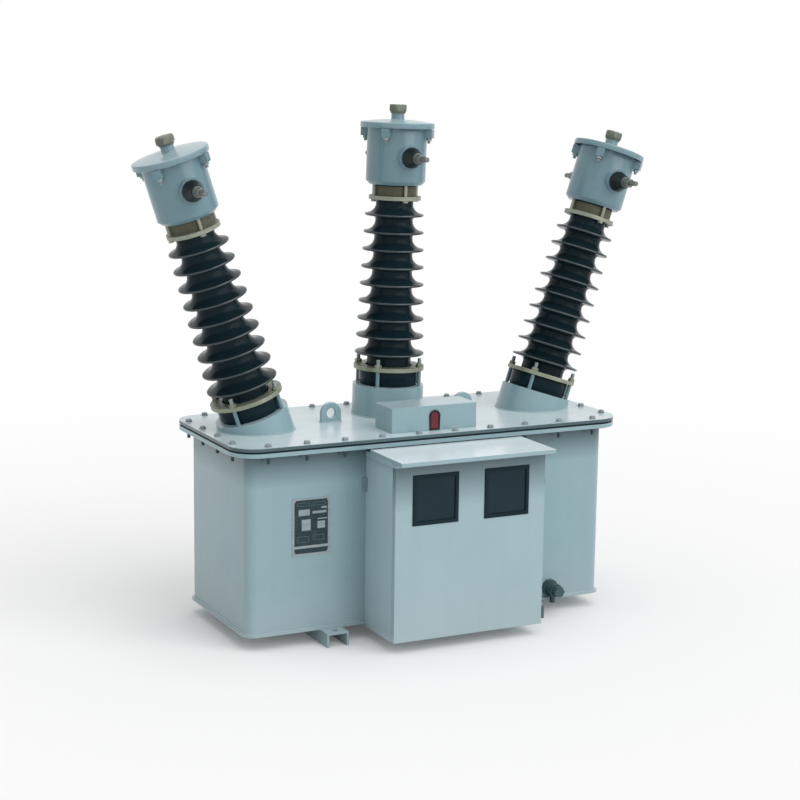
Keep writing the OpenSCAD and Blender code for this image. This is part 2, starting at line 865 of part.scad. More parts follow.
// Hexagonal screw cap that sits on the filler neck, its plug inside the neck
module filler_cap(i) {
    collar = 6;
    color(brass) placed() at_seat(i, cap_z) union() {
        cylinder(d = cap_d * 0.8, h = collar);
        translate([0, 0, collar]) intersection() {
            cylinder(d = cap_d, h = cap_h - collar, $fn = 6);
            cylinder(d1 = cap_d * 1.3, d2 = cap_d * 0.86, h = cap_h - collar);
        }
        translate([0, 0, -neck_h / 2]) cylinder(d = neck_d - 10 - 2 * slip, h = neck_h / 2 + 1);
    }
}

module filler_cap_left() {
    filler_cap(0);
}

module filler_cap_middle() {
    filler_cap(1);
}

module filler_cap_right() {
    filler_cap(2);
}

// Studs under the cover's rim that pass the pot's lugs, each with its nut
module cover_bolts() {
    reach = cover_z - pot_z - lug_pad_z;
    color(steel) placed() for (i = [0:2]) at_seat(i, cover_z) at_cover_studs() {
        translate([0, 0, -reach - nut_h(cover_stud_d) - 8])
            cylinder(d = cover_stud_d, h = reach + nut_h(cover_stud_d) + 8);
        translate([0, 0, -reach - nut_h(cover_stud_d)]) nut(cover_stud_d);
    }
}

// Terminals, front and rear of each head

module at_terminals() {
    for (i = [0:2], s = [0, 180]) at_seat(i, terminal_h) rotate([0, 0, s]) children();
}

module terminal_insulators() {
    color(black) placed() at_terminals() along_y(-boss_y) rotate_extrude() polygon([
        [terminal_d / 2 + slip, -stem_in], [stem_d / 2, -stem_in], [stem_d / 2, 0], [insulator_d / 2, 0],
        [insulator_d / 2, insulator_l * 0.2],
        [insulator_d * 0.34, insulator_l * 0.8], [insulator_d * 0.31, insulator_l],
        [terminal_d / 2 + slip, insulator_l]]);
}

// Threaded stud with a plain end in front of its nuts for the line's cable lug
module terminal_studs() {
    color(brass) placed() at_terminals() {
        along_y(-stud_in) cylinder(d = terminal_d, h = plain_y - stud_in);
        along_y(1 - plain_y) cylinder(d = terminal_d - plain_step, h = pot_d / 2 + terminal_l - plain_y + 1);
    }
}

module terminal_nuts() {
    color(steel) placed() at_terminals() along_y(-nut_y) {
        ring(washer_d(terminal_d), terminal_d + 2 * slip, terminal_washer);
        translate([0, 0, terminal_washer]) nut(terminal_d);
        translate([0, 0, terminal_washer + nut_h(terminal_d)]) nut(terminal_d);
    }
}

// Meter box

module meter_box() {
    back = -tank_d / 2;
    rim = 14;
    board_gap = 2;
    color(paint) placed() difference() {
        block([box_left, seam_y + door_gap, box_z], [box_right, back, box_top]);
        block([box_left + sheet_t, seam_y + door_gap + sheet_t, box_z + sheet_t],
              [box_right - sheet_t, back - sheet_t, box_top - sheet_t]);
        block([box_left + rim, seam_y, box_z + rim], [box_right - rim, back - sheet_t, box_top - rim]);
        translate([box_x, back, board_z]) block([-board_w / 2 - board_gap, -2 * sheet_t, -board_gap],
            [board_w / 2 + board_gap, 1, board_h + board_gap]);
    }
}

// Flat rain roof with a folded edge; it ends just under the lid's edge, clear of the lid's bolts
module box_roof() {
    back = -tank_d / 2 - flange_w + roof_under;
    color(pale) placed() difference() {
        block([box_left - roof_side, box_front - roof_front, box_top],
              [box_right + roof_side, back, box_top + roof_lip]);
        block([box_left - roof_side + sheet_t, box_front - roof_front + sheet_t, box_top - 1],
              [box_right + roof_side - sheet_t, box_front, box_top + roof_lip - sheet_t]);
        block([box_left + roof_side, box_front - 1, box_top + sheet_t],
              [box_right - roof_side, back + 1, box_top + roof_lip - sheet_t]);
    }
}

module box_door() {
    hole = window_w - 2 * frame_lip;
    color(paint) placed() difference() {
        block([box_left, box_front, door_z], [box_right, seam_y, door_z + door_h]);
        block([box_left + sheet_t, box_front + sheet_t, door_z + sheet_t],
              [box_right - sheet_t, seam_y + 1, door_z + door_h - sheet_t]);
        for (x = windows_x) block([x - hole / 2, box_front - 1, window_z - hole / 2],
            [x + hole / 2, box_front + sheet_t + 1, window_z + hole / 2]);
    }
}

module square_ring(outer, inner, t) {
    difference() {
        block([-outer / 2, 0, -outer / 2], [outer / 2, t, outer / 2]);
        block([-inner / 2, -1, -inner / 2], [inner / 2, t + 1, inner / 2]);
    }
}

// Rubber frames: a lip in front of the door's sheet and a sleeve through its opening
module window_frames() {
    hole = window_w - 2 * frame_lip;
    color(black) placed() for (x = windows_x) translate([x, box_front, window_z]) {
        translate([0, -frame_out, 0]) square_ring(window_w, window_w - 2 * frame_w, frame_out);
        translate([0, -1, 0]) square_ring(hole - 2 * pane_gap, window_w - 2 * frame_w, 1 + sheet_t + pane_t);
    }
}

module window_panes() {
    size = window_w - 2 * frame_w - 2 * pane_gap;
    color("#25303a") placed() for (x = windows_x)
        translate([x - size / 2, box_front + 1, window_z - size / 2]) cube([size, pane_t, size]);
}

// Hinge leaves: flat on the box's side with the outer knuckles, flat on the door's edge with the middle one
module knuckle(from, to) {
    translate([hinge_x, seam_y, from]) cylinder(d = hinge_d, h = to - from);
}

module hinge_leaves_box() {
    third = hinge_h / 3;
    bore = hinge_pin_d + 2 * hinge_fit;
    color(steel) placed() for (z = hinges_z) difference() {
        union() {
            for (k = [0, 2]) let (top = z + (k + 1) * third - (k == 0 ? knuckle_gap : 0)) {
                knuckle(z + k * third, top);
                block([box_right, seam_y + door_gap, z + k * third],
                      [box_right + leaf_t, seam_y + hinge_leaf, top]);
            }
            block([box_right, seam_y + hinge_d / 2 + 1, z],
                  [box_right + leaf_t, seam_y + hinge_leaf, z + hinge_h]);
        }
        translate([hinge_x, seam_y, z - 1]) cylinder(d = bore, h = hinge_h + 2);
    }
}

module hinge_leaves_door() {
    third = hinge_h / 3;
    bore = hinge_pin_d + 2 * hinge_fit;
    color(steel) placed() for (z = hinges_z) difference() {
        union() {
            knuckle(z + third, z + 2 * third - knuckle_gap);
            block([box_right, box_front + sheet_t, z + third],
                  [box_right + leaf_t, seam_y, z + 2 * third - knuckle_gap]);
        }
        translate([hinge_x, seam_y, z - 1]) cylinder(d = bore, h = hinge_h + 2);
    }
}

module hinge_pins() {
    color(steel) placed() for (z = hinges_z) translate([hinge_x, seam_y, z])
        cylinder(d = hinge_pin_d, h = hinge_h);
}

// Mounting panel on folded feet that stand on the box's back
module meter_panel() {
    back = -tank_d / 2 - sheet_t;
    color("#c9ccca") placed() translate([box_x, 0, panel_z]) {
        block([-panel_w / 2, panel_y, 0], [panel_w / 2, panel_y + sheet_t, panel_h]);
        for (s = [-1, 1]) {
            block([s * panel_w / 2 - (s > 0 ? sheet_t : 0), panel_y, 0],
                  [s * panel_w / 2 + (s > 0 ? 0 : sheet_t), back, panel_h]);
            block([s * panel_w / 2 - (s > 0 ? panel_foot : 0), back - sheet_t, 0],
                  [s * panel_w / 2 + (s > 0 ? 0 : panel_foot), back, panel_h]);
        }
    }
}

// Board over the opening of the secondary leads, with its rows of terminal posts
module terminal_board() {
    posts = 9;
    rows = 2;
    post_d = 8;
    post_l = 22;
    color("#6b4a2c") placed() translate([box_x, -tank_d / 2, board_z]) {
        block([-board_w / 2, -board_t, 0], [board_w / 2, 0, board_h]);
        for (k = [0:posts - 1], r = [0:rows - 1])
            translate([(k - (posts - 1) / 2) * board_w / (posts + 1), 0, (r + 0.5) * board_h / rows])
                along_y(-board_t + 1) cylinder(d = post_d, h = post_l + 1);
    }
}

module box_brackets() {
    color("#4d5458") placed() for (s = [-1, 1]) translate([box_x + s * box_w / 2, -tank_d / 2, bracket_z]) {
        block([s > 0 ? 0 : -bracket_t, -bracket_leg, 0], [s > 0 ? bracket_t : 0, 0, bracket_h]);
        block([s > 0 ? 0 : -bracket_leg, -bracket_t, 0], [s > 0 ? bracket_leg : 0, 0, bracket_h]);
    }
}

// Drain valve and name plate on the front wall

module at_valve(y) {
    translate([tank_l / 2 - valve_x, -tank_d / 2 - y, valve_z]) children();
}

module drain_valve() {
    body = valve_l - plug_l;
    color(black) placed() difference() {
        union() {
            at_valve(0) along_y(0) cylinder(d = valve_d, h = valve_flange);
            at_valve(0) along_y(0) cylinder(d = valve_body_d, h = body);
            at_valve(spout_y) translate([0, 0, -spout_l]) cylinder(d = spout_d, h = spout_l);
        }
        at_valve(spout_y) translate([0, 0, -spout_l - 1]) cylinder(d = spout_d - 6, h = spout_l / 2);
    }
}

module drain_plug() {
    collar = 8;
    color(black) placed() at_valve(valve_l - plug_l) along_y(0) union() {
        cylinder(d = valve_body_d + 4, h = collar);
        cylinder(d = valve_body_d - 6, h = plug_l - 6);
        translate([0, 0, collar]) cylinder(d = valve_body_d - 2, h = plug_l - collar, $fn = 6);
    }
}

module at_plate() {
    translate([plate_x - tank_l / 2, -tank_d / 2, floor_z + plate_up]) children();
}

module nameplate() {
    color("#2b3036") placed() at_plate() difference() {
        block([-plate_w / 2, -name_t, -plate_h / 2], [plate_w / 2, 0, plate_h / 2]);
        for (x = [-1, 1], z = [-1, 1])
            translate([x * (plate_w / 2 - rivet_edge), 1, z * (plate_h / 2 - rivet_edge)])
                along_y(0) cylinder(d = rivet_d / 2 + 2 * slip, h = name_t + 2);
    }
}

module nameplate_rivets() {
    color(steel) placed() at_plate() for (x = [-1, 1], z = [-1, 1])
        translate([x * (plate_w / 2 - rivet_edge), 0, z * (plate_h / 2 - rivet_edge)]) along_y(0) {
            cylinder(d = rivet_d / 2, h = name_t + 1);
            translate([0, 0, name_t]) cylinder(d1 = rivet_d, d2 = rivet_d * 0.6, h = 1.6);
        }
}

// Core, windings and current transformers inside the tank

module core_frame() {
    bar = frame_bar;
    color("#6d7478") placed() {
        for (s = [-1, 1]) {
            block([-post_x - bar, s * foot_y - bar / 2, floor_z],
                  [post_x + bar, s * foot_y + bar / 2, core_z]);
            for (x = [-1, 1]) block([x * post_x - bar / 2, s * foot_y - bar / 2, core_z - 1],
                [x * post_x + bar / 2, s * foot_y + bar / 2, shelf_z + 1]);
        }
        block([-shelf_l / 2, shelf_y[0], shelf_z], [shelf_l / 2, shelf_y[1], shelf_z + shelf_t]);
    }
}

module vt_core() {
    half = limb_pitch + limb_w / 2;
    color("#55585a") placed() difference() {
        block([-half, -limb_w / 2, core_z], [half, limb_w / 2, core_z + core_h]);
        for (s = [0, 1]) block([-limb_pitch + limb_w / 2 + s * limb_pitch, -limb_w, core_z + limb_w],
            [-limb_w / 2 + s * limb_pitch, limb_w, core_z + limb_w + core_window]);
    }
}

module vt_windings() {
    color("#8a5a34") placed() for (i = [-1:1]) translate([i * limb_pitch, 0, core_z + limb_w])
        ring(coil_d, coil_bore, core_window - coil_gap);
}

// Rings that stand on a foot, their axis front to back
module ct_rings() {
    foot = ct_z - shelf_z - shelf_t;
    color("#7c4f30") placed() for (i = [0:2]) translate([ct_x(i), bush_y(i), ct_z]) difference() {
        union() {
            along_y(ct_w / 2) cylinder(d = ct_d, h = ct_w);
            block([-ct_d * 0.4, -ct_w / 2, -foot], [ct_d * 0.4, ct_w / 2, -foot / 2]);
        }
        along_y(ct_w / 2 + 1) cylinder(d = ct_bore, h = ct_w + 2);
    }
}

// Conductor from the front terminal down the bushing, through its ring and up to the rear terminal
function lead_half(i, side) = let (top = bush_h(i) + terminal_h) [
    bush_point(i, [0, side * stud_in, top]), bush_point(i, [0, side * lead_pair, top]),
    bush_point(i, [0, side * lead_pair, bush_h(i)]), bush_point(i, [0, side * lead_spread, 0]),
    [ct_x(i), bush_y(i) + side * lead_spread, ct_z]];
function lead_points(i) = let (front = lead_half(i, -1), rear = lead_half(i, 1))
    concat(front, [for (k = [len(rear) - 1:-1:0]) rear[k]]);

module primary_conductors() {
    color("#b06a3a") placed() for (i = [0:2]) let (p = lead_points(i)) {
        for (k = [0:len(p) - 2]) rod(p[k], p[k + 1], lead_d);
        for (k = [1:len(p) - 2]) translate(p[k]) sphere(d = lead_d + 2 * joint_swell);
    }
}

tank_body();
base_rail_left();
base_rail_right();
lid_gasket();
tank_lid();
turret_left();
turret_middle();
turret_right();
lifting_lugs();
lid_bolts();
lid_nuts();
gauge_housing();
gauge_bezel();
gauge_window();
porcelain_left();
porcelain_middle();
porcelain_right();
bushing_gaskets();
lower_ring_left();
lower_ring_middle();
lower_ring_right();
lower_ring_studs();
lower_ring_nuts();
upper_ring_left();
upper_ring_middle();
upper_ring_right();
upper_ring_bolts();
head_pot_left();
head_pot_middle();
head_pot_right();
head_cover_left();
head_cover_middle();
head_cover_right();
filler_cap_left();
filler_cap_middle();
filler_cap_right();
cover_bolts();
terminal_insulators();
terminal_studs();
terminal_nuts();
meter_box();
box_roof();
box_door();
window_frames();
window_panes();
hinge_leaves_box();
hinge_leaves_door();
hinge_pins();
meter_panel();
terminal_board();
box_brackets();
drain_valve();
drain_plug();
nameplate();
nameplate_rivets();
core_frame();
vt_core();
vt_windings();
ct_rings();
primary_conductors();
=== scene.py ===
"""Looks of the outdoor instrument transformer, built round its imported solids.

Lengths are metres, X runs along the tank, -Y is the front with the meter box and Z = 0 is the ground.
"""

import logging
import math
from dataclasses import dataclass, replace
from enum import Enum

import bmesh
import bpy
from mathutils import Matrix, Vector


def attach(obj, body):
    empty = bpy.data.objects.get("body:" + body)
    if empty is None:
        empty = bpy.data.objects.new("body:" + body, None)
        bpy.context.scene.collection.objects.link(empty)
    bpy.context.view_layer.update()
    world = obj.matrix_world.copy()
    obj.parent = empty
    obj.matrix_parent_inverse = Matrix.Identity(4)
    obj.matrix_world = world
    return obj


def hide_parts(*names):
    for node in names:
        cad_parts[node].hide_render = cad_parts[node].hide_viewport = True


RGB = tuple[float, float, float]
Point = tuple[float, float, float]
Box = tuple[float, float, float, float]
Pair = tuple[float, float]
Outline = list[Pair]
Path = list[tuple[Point, Point]]
Spots = list[tuple[Vector, Vector]]
Feeds = dict[int | str, object]
Mesh = bpy.types.Mesh
Socket = bpy.types.NodeSocket
Outputs = bpy.types.NodeOutputs

LOG = logging.getLogger("instrument_transformer")
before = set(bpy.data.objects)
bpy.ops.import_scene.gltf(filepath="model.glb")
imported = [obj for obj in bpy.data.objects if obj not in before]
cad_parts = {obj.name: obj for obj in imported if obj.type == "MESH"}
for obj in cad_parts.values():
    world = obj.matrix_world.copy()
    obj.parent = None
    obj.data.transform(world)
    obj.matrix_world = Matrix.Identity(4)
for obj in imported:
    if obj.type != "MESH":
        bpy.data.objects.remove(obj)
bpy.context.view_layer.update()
MM = 0.001
UP = (0.0, 0.0, 1.0)
DOWN = (0.0, 0.0, -1.0)
FRONT = (0.0, -1.0, 0.0)

# Places that several sub-assemblies share
TANK_Y = 0.093
WALL_Y = TANK_Y - 0.231
LID_Z = 0.609
BOX_X = 0.025

# Edges steeper than these angles in degrees stay sharp
SHARP = 21.0
FLAT_SHARP = 12.0
TURNED_SHARP = 50.0
BEAD_SHARP = 60.0

# Hexagons and washers, as shares of the thread's diameter
HEX_ACROSS = 1.8
NUT_HIGH = 0.8
HEAD_HIGH = 0.65
WASHER_RADIUS = 1.05

# Weld beads: share by which they swell and shrink, and ripples per metre
RIPPLE = 0.5
RIPPLES = 90.0


class Body(Enum):
    """The bodies that pieces ride on."""

    BASE = "base"
    DOOR = "door"


class Slot(Enum):
    """Names of the record's material slots."""

    TANK_PAINT = "tank_paint"
    LID_PAINT = "lid_paint"
    BLACK_RUBBER = "black_rubber"
    BOLT_STEEL = "bolt_steel"
    GAUGE_BLACK = "gauge_black"
    GAUGE_RED = "gauge_red"
    DARK_GLAZE = "dark_glaze"
    YELLOW_ZINC = "yellow_zinc"
    CAP_BRASS = "cap_brass"
    WINDOW_GLASS = "window_glass"
    PANEL_GREY = "panel_grey"
    BOARD_BROWN = "board_brown"
    PLATE_DARK = "plate_dark"


class Side(Enum):
    """The three bushings, seen from the front."""

    LEFT = "left"
    MIDDLE = "middle"
    RIGHT = "right"


class NodeBoard:
    """Adds and joins the nodes of one tree."""

    def __init__(self, tree: bpy.types.NodeTree) -> None:
        """Starts from an empty tree."""
        self.tree = tree
        tree.nodes.clear()

    def add(self, kind: str, feeds: Feeds | None = None, **settings: object) -> Outputs:
        """Adds a node and feeds its inputs.

        Args:
            kind: Blender's name of the node type.
            feeds: for inputs by name or number, a socket or a plain number, colour, vector or word.
            settings: values of the node's own properties.

        Returns:
            The node's outputs.
        """
        node = self.tree.nodes.new(kind)
        for key, value in settings.items():
            setattr(node, key, value)
        for key, source in (feeds or {}).items():
            target = node.inputs[key]
            if isinstance(source, Socket):
                self.tree.links.new(source, target)
            elif target.type == "RGBA":
                target.default_value = (*source, 1.0)
            else:
                target.default_value = source
        return node.outputs

    def math(self, operation: str, *values: object) -> Socket:
        """Adds a Math node and returns its result."""
        return self.add("ShaderNodeMath", dict(enumerate(values)), operation=operation)[0]

    def vector(self, operation: str, *values: object) -> Socket:
        """Adds a Vector Math node and returns its vector."""
        return self.add("ShaderNodeVectorMath", dict(enumerate(values)), operation=operation)["Vector"]

    def scaled(self, vector: object, factor: object) -> Socket:
        """Scales a vector by a number and returns it."""
        return self.add("ShaderNodeVectorMath", {0: vector, "Scale": factor}, operation="SCALE")["Vector"]

    def mix(self, factor: object, first: object, second: object) -> Socket:
        """Mixes two colours and returns the result."""
        return self.add("ShaderNodeMix", {0: factor, 6: first, 7: second}, data_type="RGBA")[2]

    def span(self, value: object, low: float, high: float, to_low: float, to_high: float) -> Socket:
        """Maps a number from one span to another, held at its ends, and returns it."""
        return self.add("ShaderNodeMapRange", dict(enumerate((value, low, high, to_low, to_high))))[0]

    def noise(self, place: object, scale: float, detail: float = 3.0, rough: float = 0.55) -> Socket:
        """Adds a noise pattern with so many features per metre and octaves, and returns its number."""
        feeds = {"Vector": place, "Scale": scale, "Detail": detail, "Roughness": rough}
        return self.add("ShaderNodeTexNoise", feeds)[0]

    def stretched(self, place: object, scale: Point) -> Socket:
        """Returns coordinates that are stretched along the axes."""
        return self.add("ShaderNodeMapping", {"Vector": place, "Scale": scale})[0]

    def parts(self, vector: object) -> Outputs:
        """Splits a vector and returns its three numbers."""
        return self.add("ShaderNodeSeparateXYZ", {0: vector})

    def upward(self, low: float, high: float) -> Socket:
        """Returns 0 to 1 for a surface whose normal's Z goes from low to high."""
        return self.span(self.parts(self.add("ShaderNodeNewGeometry")["Normal"])[2], low, high, 0.0, 1.0)

    def named(self, name: str, kind: str) -> Socket:
        """Returns an attribute of a geometry by its name."""
        return self.add("GeometryNodeInputNamedAttribute", {"Name": name}, data_type=kind)["Attribute"]

    def shape(self, source: object) -> Socket:
        """Returns the geometry of an object."""
        return self.add("GeometryNodeObjectInfo", {"Object": source}, transform_space="ORIGINAL")["Geometry"]


@dataclass(frozen=True)
class Finish:
    """A surface with drifting tone, uneven gloss and fine grain.

    Scales are features per metre, the grain's height is in millimetres, and passing is the share of light that goes
    through.
    """

    name: str
    colour: RGB
    shade: RGB
    roughness: float = 0.4
    gloss_drift: float = 0.1
    metallic: float = 0.0
    specular: float = 0.5
    tone_scale: float = 5.0
    speck_scale: float = 70.0
    speck_share: float = 0.3
    grain_scale: float = 500.0
    grain_height: float = 0.1
    stretch: Point = (1.0, 1.0, 1.0)
    passing: float = 0.0
    ior: float = 1.5

    def material(self) -> bpy.types.Material:
        """Returns the finish as a material, made once."""
        found = bpy.data.materials.get(self.name)
        if found is not None:
            return found
        material = bpy.data.materials.new(self.name)
        material.use_nodes = True
        board = NodeBoard(material.node_tree)
        place = board.add("ShaderNodeTexCoord")["Object"]
        grained = board.stretched(place, self.stretch)
        tone = board.noise(grained, self.tone_scale)
        speck = board.noise(grained, self.speck_scale, 2.0)
        both = board.math("ADD", board.math("MULTIPLY", tone, 1.0 - self.speck_share),
                          board.math("MULTIPLY", speck, self.speck_share))
        toned = board.mix(board.span(both, 0.36, 0.66, 0.0, 1.0), self.colour, self.shade)
        drift = self.gloss_drift / 2
        grain = {"Strength": 0.5, "Distance": self.grain_height * MM,
                 "Height": board.noise(grained, self.grain_scale, 2.0)}
        shader = board.add("ShaderNodeBsdfPrincipled", {
            "Base Color": self.marks(board, place, toned),
            "Roughness": board.span(speck, 0.3, 0.7, self.roughness - drift, self.roughness + drift),
            "Normal": board.add("ShaderNodeBump", grain)[0],
            "Metallic": self.metallic, "Specular IOR Level": self.specular,
            "Transmission Weight": self.passing, "IOR": self.ior})
        board.add("ShaderNodeOutputMaterial", {"Surface": shader[0]})
        return material

    def marks(self, board: NodeBoard, place: object, colour: object) -> object:
        """Adds what lies on the surface; a plain finish has nothing there.

        Args:
            board: the material's nodes.
            place: Object coordinates.
            colour: the colour so far.

        Returns:
            The colour with the marks.
        """
        return colour


@dataclass(frozen=True)
class Paint(Finish):
    """Gloss enamel on steel with faint runs, splashed near the ground, and lightened where it faces up by dust and a
    painted reflection of the sky.

    Shade band is painted shade that thickens from one height to another: those two heights and its share. Corner is
    painted shade beside the meter box on the front wall: half the box's width, the shade's reach and its share.
    """

    roughness: float = 0.235
    gloss_drift: float = 0.05
    grain_scale: float = 400.0
    grain_height: float = 0.03
    sky_sheen: RGB = (0.510, 0.620, 0.662)
    sky_sheen_share: float = 0.5
    dust: RGB = (0.44, 0.46, 0.45)
    dust_share: float = 0.25
    splash_top: float = 0.22
    run_share: float = 0.14
    shade_and_dirt: RGB = (0.045, 0.085, 0.098)
    shade_band: Point = (0.0, 0.0, 0.0)
    corner: Point = (0.0, 0.0, 0.0)

    def film(self, board: NodeBoard, place: object, colour: object) -> object:
        """Adds painted shade under edges and in the corner beside the meter box; see Finish.marks."""
        x, y, height = board.parts(place)
        # Shade band: painted shade, darker towards the second height
        begin, end, share = self.shade_band
        if share > 0.0:
            layer = board.span(height, begin, end, 0.0, share)
            if end > begin:
                layer = board.math("MULTIPLY", layer, board.math("LESS_THAN", height, end + 0.0005))
            colour = board.mix(layer, colour, self.shade_and_dirt)
        # Corner: painted shade on the front wall beside the meter box
        half, reach, share = self.corner
        if share > 0.0:
            beside = board.math("ABSOLUTE", board.math("SUBTRACT", x, BOX_X))
            front = board.math("LESS_THAN", y, WALL_Y + 0.001)
            near = board.math("MULTIPLY", board.span(beside, half, half + reach, share, 0.0), front)
            colour = board.mix(near, colour, self.shade_and_dirt)
        return colour

    def marks(self, board: NodeBoard, place: object, colour: object) -> object:
        """Adds runs, splash, painted shade, a painted sky reflection and dust; see Finish.marks."""
        runs = board.noise(board.stretched(place, (26.0, 26.0, 1.1)), 1.0, 4.0)
        darker = tuple(0.72 * c for c in self.colour)
        streaked = board.mix(board.span(runs, 0.52, 0.78, 0.0, self.run_share), colour, darker)
        height = board.parts(place)[2]
        uneven = board.math("ADD", height, board.math("MULTIPLY", board.noise(place, 9.0), -0.16))
        splash = board.span(uneven, -0.08, self.splash_top - 0.08, self.dust_share, 0.0)
        splashed = self.film(board, place, board.mix(splash, streaked, self.dust))
        # Where the enamel faces up: a painted reflection of the sky, then dust patches
        upward = board.upward(0.55, 0.95)
        cloud = board.span(board.noise(place, 5.0), 0.3, 0.7, 0.85 * self.sky_sheen_share, self.sky_sheen_share)
        sky_sheened = board.mix(board.math("MULTIPLY", upward, cloud), splashed, self.sky_sheen)
        patch = board.span(board.noise(place, 13.0, 4.0), 0.46, 0.76, 0.0, self.dust_share)
        return board.mix(board.math("MULTIPLY", upward, patch), sky_sheened, self.dust)


@dataclass(frozen=True)
class ChippedHighlitEdge(Finish):
    """Rounded edge of painted steel, lighter than the faces as a painted highlight, with small chips down to the
    primer.
    """

    roughness: float = 0.34
    chip: RGB = (0.20, 0.19, 0.17)
    chip_from: float = 0.66

    def marks(self, board: NodeBoard, place: object, colour: object) -> object:
        """Adds the chips; see Finish.marks."""
        chips = board.noise(place, 55.0, 4.0, 0.6)
        return board.mix(board.span(chips, self.chip_from, self.chip_from + 0.03, 0.0, 0.7), colour, self.chip)


@dataclass(frozen=True)
class Glaze(Finish):
    """Dark fired glaze, browner where it runs thin, with dust on the upper side of the sheds."""

    thin: RGB = (0.012, 0.017, 0.019)
    dust: RGB = (0.022, 0.034, 0.040)

    def marks(self, board: NodeBoard, place: object, colour: object) -> object:
        """Adds thin places and dust; see Finish.marks."""
        thin = board.span(board.noise(place, 22.0, 4.0), 0.55, 0.75, 0.0, 0.6)
        patch = board.span(board.noise(place, 34.0), 0.40, 0.75, 0.0, 0.35)
        dusty = board.math("MULTIPLY", board.upward(0.35, 0.95), patch)
        return board.mix(dusty, board.mix(thin, colour, self.thin), self.dust)


@dataclass(frozen=True)
class Plating(Finish):
    """Plated or bare metal with dull cloudy patches and dark dirt in them."""

    gloss_drift: float = 0.14
    shade_and_dirt: RGB = (0.12, 0.11, 0.09)
    dirt_share: float = 0.4

    def marks(self, board: NodeBoard, place: object, colour: object) -> object:
        """Adds the cloudy dirt; see Finish.marks."""
        clouds = board.span(board.noise(place, 38.0, 4.0, 0.65), 0.5, 0.8, 0.0, self.dirt_share)
        return board.mix(clouds, colour, self.shade_and_dirt)


# Enamels
# Tank enamel: its shade band is painted shade under the lid's flange, its corner painted shade beside the meter box
TANK_PAINT = Paint("tank_enamel", (0.256, 0.381, 0.418), (0.238, 0.360, 0.397), shade_band=(0.480, 0.581, 0.92),
                   corner=(0.246, 0.070, 0.20))
# Lid enamel: a painted reflection of the sky on the top and painted shade on the lid's edge
LID_PAINT = Paint("lid_enamel", (0.200, 0.302, 0.336), (0.184, 0.284, 0.317), grain_height=0.02,
                  sky_sheen=(0.590, 0.695, 0.735), sky_sheen_share=0.9, shade_band=(0.6086, 0.6072, 0.95))
# Roof enamel: a lighter copy of the enamel as painted light, with a painted reflection of the sky on its top
ROOF_PAINT = Paint("roof_enamel", (0.290, 0.410, 0.446), (0.270, 0.388, 0.425), grain_height=0.02,
                   sky_sheen=(0.750, 0.845, 0.880), sky_sheen_share=0.95, dust_share=0.10)
# Door and box enamels: lighter copies of the enamel as painted light, with painted shadow under the rain roof
DOOR_PAINT = Paint("door_enamel", (0.318, 0.438, 0.472), (0.300, 0.418, 0.453), grain_height=0.02, sky_sheen_share=0.8,
                   shade_band=(0.422, 0.552, 0.80))
BOX_PAINT = replace(DOOR_PAINT, name="box_enamel", colour=(0.372, 0.512, 0.552), shade=(0.352, 0.490, 0.530),
                    shade_band=(0.530, 0.552, 0.25))
# Channel enamels: a darker copy of the enamel as painted shade; the right channel's front end gets more painted shade
# under the meter box
RAIL_PAINT = Paint("rail_enamel", (0.212, 0.332, 0.370), (0.190, 0.304, 0.342), 0.33, 0.08, grain_height=0.04)
SHADED_RAIL = replace(RAIL_PAINT, name="rail_enamel_dirty", corner=(0.36, 0.02, 0.80))
# Hinge enamel: a dark copy of the enamel as painted shade
HINGE_PAINT = Paint("hinge_enamel", (0.062, 0.104, 0.118), (0.046, 0.082, 0.094), 0.34, 0.10, grain_height=0.04)
# Head and cover enamels: darker copies of the enamel as painted shade, the covers with a painted sky reflection on top
COVER_PAINT = Paint("cover_enamel", (0.190, 0.298, 0.340), (0.172, 0.276, 0.318), sky_sheen_share=0.40)
HEAD_PAINT = Paint("head_enamel", (0.146, 0.250, 0.291), (0.128, 0.228, 0.268))
# Weld enamel: its shade band is painted shade under the lid's flange
WELD_PAINT = Paint("weld_enamel", (0.228, 0.350, 0.388), (0.196, 0.312, 0.348), 0.34, 0.10, grain_scale=260.0,
                   grain_height=0.3, shade_band=(0.560, 0.586, 0.55))
# Edge enamels: lighter than the faces, as a painted highlight on the rounded edges
TANK_EDGE_HIGHLIGHT = ChippedHighlitEdge("tank_enamel_edge", (0.310, 0.440, 0.478), (0.280, 0.410, 0.450))
HEAD_EDGE_HIGHLIGHT = ChippedHighlitEdge("head_enamel_edge", (0.190, 0.300, 0.342), (0.165, 0.272, 0.315))
DRAIN = Finish("drain_enamel", (0.052, 0.098, 0.106), (0.036, 0.070, 0.076), 0.36, 0.12, specular=0.3, tone_scale=16.0)
PANEL = Finish("panel_enamel", (0.380, 0.410, 0.415), (0.330, 0.360, 0.368), 0.45, 0.12)

# Metals
COLLAR = Plating("collar_bronze", (0.106, 0.104, 0.070), (0.070, 0.070, 0.048), 0.55, 0.15, 0.15, 0.3,
                 grain_scale=300.0, grain_height=0.3)
ZINC = Plating("chromate_zinc", (0.290, 0.315, 0.235), (0.215, 0.235, 0.172), 0.42, 0.16, 0.3, tone_scale=18.0,
               grain_scale=700.0)
# Lighter copy of the zinc for rounded edges: painted highlight
ZINC_EDGE_HIGHLIGHT = Plating("chromate_zinc_edge", (0.360, 0.385, 0.300), (0.280, 0.300, 0.230), 0.38, metallic=0.3,
                    tone_scale=30.0)
DULL_ZINC = Plating("dull_zinc", (0.315, 0.340, 0.275), (0.230, 0.250, 0.200), 0.46, 0.16, 0.3, tone_scale=18.0,
                    grain_scale=700.0)
BOLT = Plating("bolt_zinc", (0.330, 0.385, 0.398), (0.250, 0.300, 0.312), 0.44, 0.16, 0.3, tone_scale=24.0,
               grain_height=0.15)
